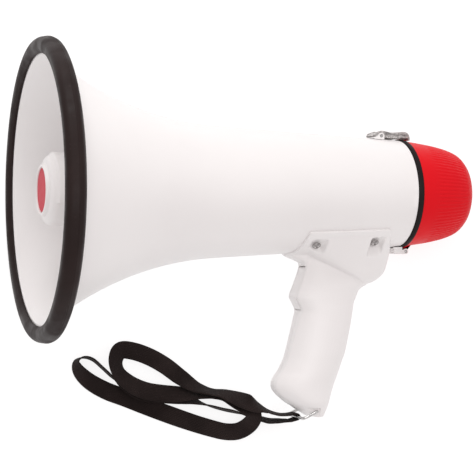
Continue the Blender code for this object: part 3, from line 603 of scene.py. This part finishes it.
# ---- rear cap ----
RIB_COUNT = 84             # fine grip ribs round the cap's back half
RIB_DEPTH = 0.3


def cap_shape(x, radius, angle):
    if radius < 27 or x < 276:
        return radius
    fade = ease(x, 277, 283) * ease(-x, -308.5, -303)
    outer = radius > 33.2 or x > 299
    wave = 0.5 - 0.5 * math.cos(RIB_COUNT * angle)
    return radius - (RIB_DEPTH * fade * wave ** 2 if outer else 0.0)


def rear_cap():
    outer = [(CAP_FRONT, CAP_R), (273, 37.8), (283, 36.4), (292, 34.8), (300, 32.8), (307, 30.0),
             (311.6, 26.0), (313.6, 22.6)]
    outer = [tuple(p) for p in smooth(outer, 9)]
    dish = filleted([(313.6, 22.6), (CAP_REAR, 21.2), (CAP_REAR, DISH_R + 0.2), (DISH_S, DISH_R - 0.2),
                     (DISH_S, 0)], [0, 0.5, 0.5, 0.6, 0], 5, closed=False)
    inner = [(DISH_S - 2.3, 0), (DISH_S - 2.3, 20), (305, 27), (298, 30.4), (291, 32.2), (273, 33.4),
             (SPIGOT_FRONT, 33.4), (SPIGOT_FRONT, SPIGOT_R), (CAP_FRONT, SPIGOT_R)]
    profile = inner + outer[:-1] + [tuple(p) for p in dish]
    piece("cap_body", turned(profile, 504, shape=cap_shape), RED, "cap", ["rear_cap"], sharp=50)
    x, z = HINGE
    knuckle = [(CAP_FRONT + 0.1, -36.5), (CAP_FRONT + 0.1, z - 1.0)] + arc((x, z), 1.95, -60, -250, 14)
    knuckle += [(x - 1.0, z + 1.2), (274, -37.2)]
    piece("cap_knuckle", plate(knuckle, -3.9, 3.9), RED, "cap", bevel=0.25)
    keeper = plate([(267.3, 36.6), (267.3, 39.2), (268.6, 39.2), (269.2, 36.6)], -5, 5)
    piece("latch_keeper", keeper, RED, "cap", bevel=0.3)


def mic_grille():
    """Guard over the microphone: three rings and six spokes on a dark mesh."""
    y, z = MIC_YZ
    front = DISH_S + GAP
    guard = filleted([(front, 7.6), (front, 8.5), (front + 1.8, 8.3), (front + 2.2, 7.4)], 0.3)
    parts = [turned(guard, 64, MIC_YZ),
             turned([(front, 0), (front, 7.8), (front + 0.6, 7.8), (front + 0.6, 0)], 64, MIC_YZ)]
    for radius in (2.2, 4.0, 5.8):
        hoop = [(front + 1.4 + 0.5 * math.cos(a), radius + 0.42 * math.sin(a))
                for a in (2 * math.pi * k / 10 for k in range(10))]
        parts.append(turned(hoop, 64, MIC_YZ))
    for i in range(6):
        a = math.radians(60 * i + 30)
        out = Vector((0, math.sin(a), math.cos(a)))
        middle = Vector((front + 1.4, y, z))
        parts.append(rod(middle + out * 0.8, middle + out * 7.8, 0.42, 12))
    parts.append(turned(filleted([(front + 0.4, 0), (front + 0.4, 1.2), (front + 2.1, 1.0), (front + 2.1, 0)],
                                 [0, 0, 0.3, 0]), 32, MIC_YZ))
    piece("mic_guard", joined(*parts), BLACK, "cap", ["mic_grille"])


def volume_knob():
    """A knurled knob with a moulded pointer, and printed-on dots of growing size round it."""
    def knurl(x, radius, angle):
        if radius < 4.4 or x < DISH_S + 0.5:
            return radius
        return radius - 0.28 * (0.5 - 0.5 * math.cos(26 * angle))

    front = DISH_S + GAP
    profile = filleted([(front, 0), (front, 5.4), (313.3, 5.2), (313.7, 4.7), (313.7, 0)],
                       [0, 0.1, 0.2, 0.3, 0])
    y, z = KNOB_YZ
    pointer = block((313.55, 313.85), (y - 0.35, y + 0.35), (z + 1.4, z + 4.6))
    piece("knob", turned(profile, 208, KNOB_YZ, knurl), BLACK, "volume_knob", ["volume_knob"])
    piece("knob_pointer", pointer, WHITE, "volume_knob", bevel=0.08)
    dots = []
    for i in range(6):
        a = math.radians(-30 - 34 * i)
        middle = Vector((DISH_S, y + 6.7 * math.sin(a), z + 6.7 * math.cos(a)))
        dots.append(rod(middle, middle + Vector((0.18, 0, 0)), 0.28 + 0.06 * i, 20))
    piece("volume_dots", joined(*dots), WHITE, "cap")


def mode_slider():
    """The slide switch: a ridged thumb piece in a sunk frame."""
    y, z = SLIDER_YZ
    front = DISH_S + GAP
    parts = [block((front, 313.0), (y - 1.65, y + 1.65), (z - 3.95, z - 0.45))]
    for i in range(4):
        ridge = z - 3.5 + i * 0.87
        parts.append(block((312.9, 313.5), (y - 1.5, y + 1.5), (ridge - 0.2, ridge + 0.2)))
    piece("mode_thumb", joined(*parts), BLACK, "mode_slider", ["mode_slider"], bevel=0.1)
    outline = filleted([(y - 2.6, z - 5.4), (y + 2.6, z - 5.4), (y + 2.6, z + 5.4), (y - 2.6, z + 5.4)], 1.0)
    opening = filleted([(y - 1.9, z - 4.6), (y + 1.9, z - 4.6), (y + 1.9, z + 4.6), (y - 1.9, z + 4.6)], 0.4)
    rings = [[(x, p[0], p[1]) for p in line] for x, line in
             ((DISH_S, outline), (DISH_S + 0.5, outline), (DISH_S + 0.5, opening), (DISH_S, opening))]
    piece("mode_frame", skin(rings, loop=True), BLACK, "cap", bevel=0.1)
    floor = block((DISH_S - 0.02, DISH_S + 0.06), (y - 1.95, y + 1.95), (z - 4.65, z + 4.65))
    piece("mode_floor", floor, BLACK, "cap")


def gasket():
    outer = shell_radius(SHELL_REAR) + 0.5
    profile = [(263.0, 36.2), (263.0, outer), (264.9, outer + 0.45), (266.8, outer), (266.8, 36.2)]
    piece("seal", turned(filleted(profile, [0, 0.5, 1.2, 0.5, 0], 5), 224), SEAL_RUBBER, "shell", ["gasket"])


# ---- latch ----
LEVER_HALF, CLAW_HALF, ARM_INSIDE = 4.9, 7.2, 5.2


def latch():
    """The over-centre latch: a cast lever with its thumb tab, and the claw that hooks over the seal."""
    x, z = LEVER_PIVOT
    lever = [(241.4, 41.1), (245.2, 41.2)] + arc((x, z), 1.7, -120, 60, 14)
    lever += [(246.0, 44.5), (243.4, 43.0), (241.4, 41.7)]
    piece("latch_thumb_lever", plate(lever, -LEVER_HALF, LEVER_HALF), CASTING, "latch_lever",
          ["latch_lever"], bevel=0.35)
    top = smooth([(270.95, 38.55), (270.9, 40.6), (270.2, 42.8), (268.6, 44.3), (266.2, 44.9), (262, 44.6),
                  (258, 44.2), (254.4, 44.3), (251.0, 45.0)], 4)
    under = [(251.0, 42.4), (259, 41.6), (264.6, 41.7), (268.9, 41.0), (269.8, 38.55)]
    claw = plate([tuple(p) for p in top] + under, -CLAW_HALF, CLAW_HALF)
    piece("latch_claw", claw, CASTING, "latch_link", ["latch_link"], bevel=0.35)
    for side in (-1, 1):
        low, high = sorted((side * ARM_INSIDE, side * CLAW_HALF))
        arm = arc(LINK_PIVOT, 1.6, 90, 290, 14) + [(246.2, 42.85), (249.4, 42.85), (250.4, 40.1), (262, 39.7),
                                                   (264, 40.1), (268.6, 40.2), (269.3, 41.2), (266, 44.0),
                                                   (258, 43.4), (252.4, 44.8), (250, 45.2), (248.4, 45.4),
                                                   (246.6, 44.9)]
        name = "latch_arm_right" if side > 0 else "latch_arm_left"
        piece(name, plate(arm, low, high), CASTING, "latch_link", bevel=0.3)


# ---- grip ----
# the grip's outline from the side: (z, front x, rear x, half width, half width of its flat front)
GRIP_SECTIONS = [
    (-38.0, 189.0, 252.5, 15.0, 8.0), (-50.0, 189.2, 252.0, 14.5, 8.0), (-53.0, 189.4, 251.0, 14.2, 8.0),
    (-58.0, 188.0, 248.5, 14.0, 8.0), (-64.0, 185.8, 241.5, 14.2, 8.2), (-69.0, 183.8, 233.0, 15.0, 8.4),
    (-74.0, 182.2, 230.2, 15.6, 8.6), (-79.0, 184.6, 228.0, 16.0, 8.6), (-84.0, 186.4, 227.0, 16.5, 8.0),
    (-90.0, 184.6, 226.0, 16.9, 6.6), (-98.0, 182.3, 224.4, 17.4, 5.6), (-113.0, 178.2, 221.0, 18.0, 5.2),
    (-119.0, 176.2, 218.8, 18.0, 5.2), (-126.0, 172.6, 216.3, 18.0, 5.2), (-131.0, 169.0, 214.4, 18.0, 5.2),
    (-135.0, 167.2, 212.8, 17.8, 5.2), (-139.0, 167.6, 211.4, 17.6, 5.2), (-143.0, 170.4, 210.0, 17.4, 5.2),
    (-148.0, 176.2, 208.4, 17.0, 5.2), (-151.5, 181.4, 207.2, 15.8, 5.2), (-154.5, 186.0, 206.0, 14.0, 5.2),
    (-159.0, 193.0, 203.0, 13.4, 5.2),
]
# the wide block between the barrel and the grip, which ends in a rounded lobe at the back
YOKE_SECTIONS = [
    (-26.6, 181.8, 250.4, 31.4), (-30.0, 182.0, 250.8, 30.6), (-34.0, 182.4, 251.2, 29.2),
    (-40.0, 185.6, 251.6, 26.2), (-45.0, 192.0, 251.5, 23.4), (-51.0, 204.0, 250.6, 20.2),
    (-57.0, 216.0, 248.8, 17.6), (-61.5, 226.0, 244.4, 15.0), (-64.6, 231.0, 239.6, 11.5),
]
YOKE_TAPER = 1.6           # how much wider than its middle the block is in front, and narrower behind
# the foot that carries the block forward under the barrel, above the trigger
FOOT_SECTIONS = [
    (-38.0, 176.4, 214.0, 10.0), (-44.6, 176.8, 214.0, 9.6), (-47.6, 183.2, 212.0, 9.2),
    (-51.0, 190.6, 210.0, 8.8),
]
# how the grip's section swells behind its flat front, as shares of its length and half width
FRONT_SWELL = [(0.0, 0.0), (0.05, 0.26), (0.13, 0.58), (0.25, 0.86), (0.42, 1.0)]
REAR_SECTION = [(0.60, 0.99), (0.78, 0.88), (0.90, 0.68), (0.97, 0.42), (1.0, 0.16)]
SADDLE_WRAP = 50.0         # degrees the flange reaches up each side of the barrel
SADDLE_FRONT, SADDLE_REAR = 176.0, 252.0    # the flange's ends under the barrel
SADDLE_RAKE, SADDLE_SLANT = 6.0, 7.0        # how far its front and rear run in at its upper edges
SADDLE_SUNK, SADDLE_PROUD = -3.0, 2.0       # its inner and outer faces, from the barrel's surface
SLOT_HALF, TRIGGER_HALF = 6.0, 5.75         # half widths of the slot and the trigger in it
SEAM = 0.18                # half the gap between the grip's two mouldings
VOXEL = 0.55


def grip_ring(z, front, rear, half, flat):
    swell = [(share, flat + (half - flat) * width) for share, width in FRONT_SWELL]
    side = smooth(swell + [(share, half * width) for share, width in REAR_SECTION], 3)
    ring = [(front + (rear - front) * p[0], p[1], z) for p in side]
    return ring + [(x, -y, z) for x, y, z in reversed(ring)]


def yoke_ring(z, front, rear, half, taper=0.0):
    """A rectangle with very round corners; taper widens its front and narrows its back."""
    middle, reach = (front + rear) / 2, (rear - front) / 2
    ring = []
    for i in range(72):
        a = 2 * math.pi * i / 72
        c, s = math.cos(a), math.sin(a)
        share = math.copysign(abs(c) ** 0.42, c)
        ring.append((middle + reach * share, (half - taper * share) * math.copysign(abs(s) ** 0.42, s), z))
    return ring


def saddle():
    """The flange that hugs the barrel, with slanted ends."""
    rings = []
    for k in range(81):
        a = math.radians(-SADDLE_WRAP + 2 * SADDLE_WRAP * k / 80)
        share = abs(a) / math.radians(SADDLE_WRAP)
        front, rear = SADDLE_FRONT + SADDLE_RAKE * share, SADDLE_REAR - SADDLE_SLANT * share
        rings.append([(x, (shell_radius(x) + lift) * math.sin(a), -(shell_radius(x) + lift) * math.cos(a))
                      for x, lift in ((front, SADDLE_SUNK), (rear, SADDLE_SUNK),
                                      (rear, SADDLE_PROUD), (front, SADDLE_PROUD))])
    return skin(rings)


def screw_seat(x, side):
    """The outward direction at a saddle screw, and the point below it on the barrel."""
    a = math.radians(SCREW_ANGLE)
    out = Vector((0, side * math.sin(a), -math.cos(a)))
    return out, out * shell_radius(x) + Vector((x, 0, 0))


def screw_pocket(x, side):
    """A sunk seat for a screw: a slanted box, shallower towards the top of the saddle."""
    out, seat = screw_seat(x, side)
    up = Vector((0, side * math.cos(math.radians(SCREW_ANGLE)), math.sin(math.radians(SCREW_ANGLE))))
    back = Vector((1, 0, 0))
    outline = filleted([(-4.6, -3.9), (4.6, -3.9), (7.6, 5.2), (-3.6, 5.2)], 1.4, 5)
    wider = filleted([(-6.2, -7.5), (6.4, -7.5), (11.4, 9.5), (-5.4, 9.5)], 2.0, 5)
    rings = [[seat + out * height + back * p[0] + up * p[1] for p in line]
             for height, line in ((0.9, outline), (12.0, wider))]
    return skin(rings)


def grip():
    body = guide(skin([grip_ring(*s) for s in smooth(GRIP_SECTIONS, 6)]))
    for part in (skin([yoke_ring(*s, YOKE_TAPER) for s in smooth(YOKE_SECTIONS, 5)]),
                 skin([yoke_ring(*s) for s in smooth(FOOT_SECTIONS, 4)]), saddle()):
        boolean(body, guide(part), "UNION")
    for side in (-1, 1):
        for x in SCREW_X:
            boolean(body, guide(screw_pocket(x, side)), "DIFFERENCE")
    fuse = body.modifiers.new("fuse", "REMESH")
    fuse.mode = "VOXEL"
    fuse.voxel_size = VOXEL * MM
    soften = body.modifiers.new("soften", "SMOOTH")
    soften.factor = 0.5
    soften.iterations = 9
    bake(body)
    ends = [(x, shell_radius(x) + 0.06) for x in (140, 275)]
    barrel = turned([(140, 0), *ends, (275, 0)], 256)
    boolean(body, guide(barrel), "DIFFERENCE")
    slot = plate(filleted([(150, -52.1), (204.0, -52.1), (204.0, -86.6), (199.0, -86.6),
                           (191.4, -85.7), (186.4, -83.65), (184.0, -82.6), (150, -82.6)], 0.4),
                 -SLOT_HALF, SLOT_HALF)
    boolean(body, guide(slot), "DIFFERENCE")
    x, z = RING_PIVOT
    for side in (-1, 1):
        recess = sorted((side * (RING_HALF - RING_WIRE - GAP), side * 30))
        boolean(body, guide(block((150, x + 2.4), recess, (-175, z + 2.4))), "DIFFERENCE")
    for name, side in (("grip_half_left", -1), ("grip_half_right", 1)):
        half = body.copy()
        half.data = body.data.copy()
        half.name = name
        bpy.context.scene.collection.objects.link(half)
        away = sorted((-side * 60.0, side * SEAM))
        boolean(half, guide(block((100, 320), away, (-220, 20))), "DIFFERENCE")
        half.data.shade_smooth()
        half.data.set_sharp_from_angle(angle=math.radians(38))
        half.data.materials.clear()
        half.data.materials.append(WHITE)
        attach(half, "shell")
        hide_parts("grip_left" if side < 0 else "grip_right")
    bpy.data.objects.remove(body, do_unlink=True)


def saddle_screws():
    """Pan-head screws with a sunk cross."""
    number = 0
    for side in (-1, 1):
        for x in SCREW_X:
            number += 1
            out, seat = screw_seat(x, side)
            turn = out.to_track_quat("X", "Z").to_matrix().to_4x4()
            local = Matrix.Translation(seat) @ turn
            head = filleted([(2.4, 0), (2.4, 3.2), (3.1, 3.1), (3.9, 2.1), (3.95, 0)],
                            [0, 0.2, 0.5, 0.5, 0], 4)
            bm = turned(head, 48)
            bmesh.ops.transform(bm, matrix=local, verts=bm.verts)
            screw = piece(f"screw_head_{number}", bm, SCREW_STEEL, None)
            for turned_by in (0.4, 0.4 + math.pi / 2):
                arm = block((2.8, 4.8), (-0.45, 0.45), (-1.85, 1.85))
                bmesh.ops.transform(arm, matrix=local @ Matrix.Rotation(turned_by, 4, "X"), verts=arm.verts)
                boolean(screw, guide(arm), "DIFFERENCE")
            screw.data.shade_smooth()
            screw.data.set_sharp_from_angle(angle=math.radians(35))
            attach(screw, "shell")
            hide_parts(f"saddle_screw_{number}")


def trigger():
    x, z = TRIGGER_PIVOT
    outline = [(191.0, -52.6), (189.4, -54.0), (186.5, -62.0), (183.0, -71.0), (181.2, -74.0), (182.8, -77.8),
               (186.4, -83.3), (191.4, -84.8), (199.0, -85.6), (200.5, -80.0), (201.2, -66.0)]
    outline += arc((x, z), 3.6, -30, 90, 8)
    rounded = filleted(outline, [1.2, 1.2, 6, 3, 1.6, 1.6, 0.8, 1.0, 1, 2, 3] + [0] * 8, 4)
    piece("trigger_lever", plate(rounded, -TRIGGER_HALF, TRIGGER_HALF), WHITE, "trigger", ["trigger"],
          bevel=0.5)


def strap_ring():
    x, z = RING_PIVOT
    half = RING_HALF
    forward, down = RING_REACH
    points = [(x, -10.4, z), (x, -half + 1.0, z), (x - 0.3, -half + 0.3, z)]
    points += [(x + forward * t, -half, z + down * t) for t in (0.12, 0.45, 0.8)]
    points += [(x + forward * 0.97, -half + 1.0, z + down * 0.97), (x + forward, -half + 2.6, z + down)]
    points += [(x + forward, -half * 0.4, z + down)]
    mirrored = [(px, -py, pz) for px, py, pz in reversed(points)]
    piece("ring_wire", wire(smooth(points + mirrored, 6), RING_WIRE), STEEL, "strap_ring", ["strap_ring"])


# ---- strap ----
WARP_RIBS = 11             # ribs of warp yarn across the webbing
STRAP_STEPS = 14


def web_section(centre, across, face):
    """One section of the webbing: ribbed faces and rounded selvedges."""
    top, bottom = [], []
    count = WARP_RIBS * 2
    for k in range(count + 1):
        u = -1 + 2 * k / count
        rib = 0.055 * (1 if k % 2 else -1)
        edge = (1 - abs(u) ** 9) ** 0.5
        lift = (STRAP_THICKNESS / 2 - 0.06 + rib) * max(edge, 0.25)
        spot = centre + across * (u * STRAP_WIDTH / 2)
        top.append((spot + face * lift, u))
        bottom.append((spot - face * lift, u))
    return top + bottom[::-1]


def strap_path():
    """Centres and width directions of the strap, from the back of the ring's bar and round to it again."""
    bar = HORN @ (Vector((RING_PIVOT[0] + RING_REACH[0], 0, RING_PIVOT[1] + RING_REACH[1])) * MM) / MM
    along_bar = (HORN.to_3x3() @ Vector((0, 1, 0))).normalized()
    centre = bar + along_bar * LOOP_SLIDE
    away = Vector((-1, 0, 0))
    away = (away - along_bar * away.dot(along_bar)).normalized()
    side = away.cross(along_bar)
    turn = RING_WIRE + 0.35 + STRAP_THICKNESS / 2
    stations = smooth(STRAP_ROUTE, STRAP_STEPS)
    route = [Vector(s[:3]) for s in stations]
    widths = []
    last = len(route) - 1
    for i, station in enumerate(stations):
        along = route[min(i + 1, last)] - route[max(i - 1, 0)]
        level = along.cross(Vector((0, 0, 1))).normalized()
        lean = math.radians(station[3])
        widths.append(level * math.cos(lean) + Vector((0, 0, math.sin(lean))))
    other, wrap = ([centre + side * sign * turn * math.sin(a) - away * turn * math.cos(a)
                    for a in (math.pi / 2 * k / 8 for k in range(9))] for sign in (-1, 1))
    lead_in = other + [other[-1] + (route[0] - other[-1]) * t for t in (0.33, 0.66)]
    lead_out = [route[-1] + (wrap[-1] - route[-1]) * t for t in (0.33, 0.66)] + wrap[::-1]
    centres = lead_in + route + lead_out
    turns = [along_bar] * len(lead_in) + widths + [-along_bar] * len(lead_out)
    for _ in range(6):
        turns = [turns[0]] + [(a + b * 2 + c).normalized() for a, b, c in zip(turns, turns[1:], turns[2:])] \
            + [turns[-1]]
    for _ in range(2):
        eased = [(a + b * 2 + c) / 4 for a, b, c in zip(centres[7:], centres[8:-8], centres[9:])]
        centres = centres[:8] + eased + centres[-8:]
    return centres, turns


def strap():
    centres, turns = strap_path()
    last = len(centres) - 1
    bm = bmesh.new()
    weave = bm.loops.layers.uv.new("weave")
    rows, travelled = [], 0.0
    for i, centre in enumerate(centres):
        if i:
            travelled += (centre - centres[i - 1]).length
        along = (centres[min(i + 1, last)] - centres[max(i - 1, 0)]).normalized()
        across = (turns[i] - along * turns[i].dot(along)).normalized()
        section = web_section(centre, across, along.cross(across))
        rows.append([(bm.verts.new(p), travelled, u * STRAP_WIDTH / 2) for p, u in section])
    count = len(rows[0])
    for first, second in zip(rows, rows[1:]):
        for k in range(count):
            n = (k + 1) % count
            corners = (first[k], first[n], second[n], second[k])
            face = bm.faces.new([c[0] for c in corners])
            for loop, corner in zip(face.loops, corners):
                loop[weave].uv = (corner[1], corner[2])
    for row in (rows[0], rows[-1]):
        bm.faces.new([c[0] for c in row])
    bmesh.ops.recalc_face_normals(bm, faces=bm.faces)
    made = piece("strap", bm, WEAVE, None, ["strap_webbing", "strap_end_loop"],
                 place=Matrix.Identity(4), sharp=70)
    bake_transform(made)


# ---- what the open cap shows ----
def cells():
    """Dry cells: a printed sleeve shrunk over the can, with bare steel at both ends."""
    number = 0
    for layer in range(2):
        front = CELLS_FRONT + layer * (CELL_LENGTH + 0.4)
        for y, z in ((-1, 1), (1, 1), (1, -1), (-1, -1)):
            number += 1
            centre = (y * CELL_PITCH, z * CELL_PITCH)
            rear = front + CELL_LENGTH
            sleeve = filleted([(front + 1.7, 10.4), (front + 1.5, CELL_R - 0.3), (rear - 0.1, CELL_R - 0.05),
                               (rear - 0.1, 10.8)], [0, 0.8, 0.8, 0], 4, closed=False)
            sleeve = [tuple(p) for p in sleeve] + [(rear - 0.6, 10.8), (front + 2.2, 10.4)]
            piece(f"cell_sleeve_{number}", turned(sleeve, 64, centre), CELL_WRAP, "shell", [f"cell_{number}"])
            can = filleted([(front, 0), (front, 2.9), (front + 1.5, 3.2), (front + 1.6, 10.6),
                            (rear - 0.5, 10.9), (rear - 0.4, 8.2), (rear - 0.1, 7.6), (rear - 0.1, 0)],
                           [0, 0.6, 0.4, 0, 0, 0.3, 0.3, 0], 4)
            piece(f"cell_can_{number}", turned(can, 48, centre), STEEL, "shell")


def kept_nodes():
    looks = {
        WHITE: ("cap_hinge_base", "latch_base"),
        STEEL: ("latch_pin", "latch_link_pin", "cap_hinge_pin", "trigger_pin", "trigger_spring", "top_plate",
                "driver_yoke", "volume_pot"),
        BLACK: ("driver_housing", "bulkhead", "amp_capacitor_1", "amp_capacitor_2", "battery_tray",
                "mic_capsule", "mode_switch", "talk_switch"),
        BRASS: ("contact_strip_left", "contact_strip_right", "voice_coil"),
        BOARD: ("amp_board", "control_board", "contact_board"),
        FERRITE: ("driver_magnet", "output_transformer"),
        ALUMINIUM: ("driver_diaphragm", "heatsink"),
    }
    for look, names in looks.items():
        for name in names:
            redress(name, look, 0.3 if name in ("cap_hinge_base", "latch_base") else 0.0)


# ---- table, light and camera ----
CAMERA_PLACE = (-209.0, -987.0, -31.5)      # in the horn's frame, in millimetres
CAMERA_LINE = (0.3335, 0.9427, 0.0)
CAMERA_LENS = 113.2


def table():
    mesh = bpy.data.meshes.new("floor")
    bm = bmesh.new()
    bmesh.ops.create_grid(bm, x_segments=1, y_segments=1, size=6.0)
    bm.to_mesh(mesh)
    bm.free()
    tone = (0.26, 0.259, 0.259)
    look = Look("pale_table", tone, 0.9, Specular_IOR_Level=0.1)
    look.colour(look.mix(look.noise(6.0, 3.0), tone, (0.25, 0.249, 0.249)))
    look.shader.inputs["Emission Color"].default_value = (1.0, 0.995, 0.995, 1.0)
    look.shader.inputs["Emission Strength"].default_value = 0.84
    mesh.materials.append(look.made)
    floor = bpy.data.objects.new("floor", mesh)
    bpy.context.scene.collection.objects.link(floor)
    floor.location.z = -0.0004


def lamp(name, place, aim, size, watts, colour):
    data = bpy.data.lights.new(name, "AREA")
    data.shape = "DISK"
    data.size = size
    data.energy = watts
    data.color = colour
    made = bpy.data.objects.new(name, data)
    bpy.context.scene.collection.objects.link(made)
    made.location = place
    made.rotation_euler = (Vector(aim) - Vector(place)).to_track_quat("-Z", "Y").to_euler()


def light():
    world = bpy.data.worlds.new("soft_room")
    bpy.context.scene.world = world
    world.use_nodes = True
    sky = world.node_tree.nodes["Background"]
    sky.inputs["Color"].default_value = (1.0, 0.958, 0.955, 1.0)
    sky.inputs["Strength"].default_value = 0.60
    lamp("key", (-0.15, 1.15, 1.05), (0, 0, 0.08), 0.9, 9.0, (1.0, 0.995, 0.985))
    lamp("fill", (0.15, -0.35, 1.6), (0.02, 0, 0.05), 1.4, 7.5, (1.0, 0.975, 0.97))


def camera():
    data = bpy.data.cameras.new("camera")
    data.sensor_width = 36.0
    data.lens = CAMERA_LENS
    made = bpy.data.objects.new("camera", data)
    bpy.context.scene.collection.objects.link(made)
    forward = Vector(CAMERA_LINE).normalized()
    up = Vector((0.0, 0.0, 1.0))
    turn = Matrix((forward.cross(up), up, -forward)).transposed().to_4x4()
    made.matrix_world = HORN @ Matrix.Translation(Vector(CAMERA_PLACE) * MM) @ turn
    bpy.context.scene.camera = made


horn_shell()
rim_bumper()
folded_horn()
gasket()
rear_cap()
mic_grille()
volume_knob()
mode_slider()
latch()
grip()
saddle_screws()
trigger()
strap_ring()
strap()
cells()
kept_nodes()
table()
light()
camera()
bpy.context.scene.view_settings.view_transform = "Standard"
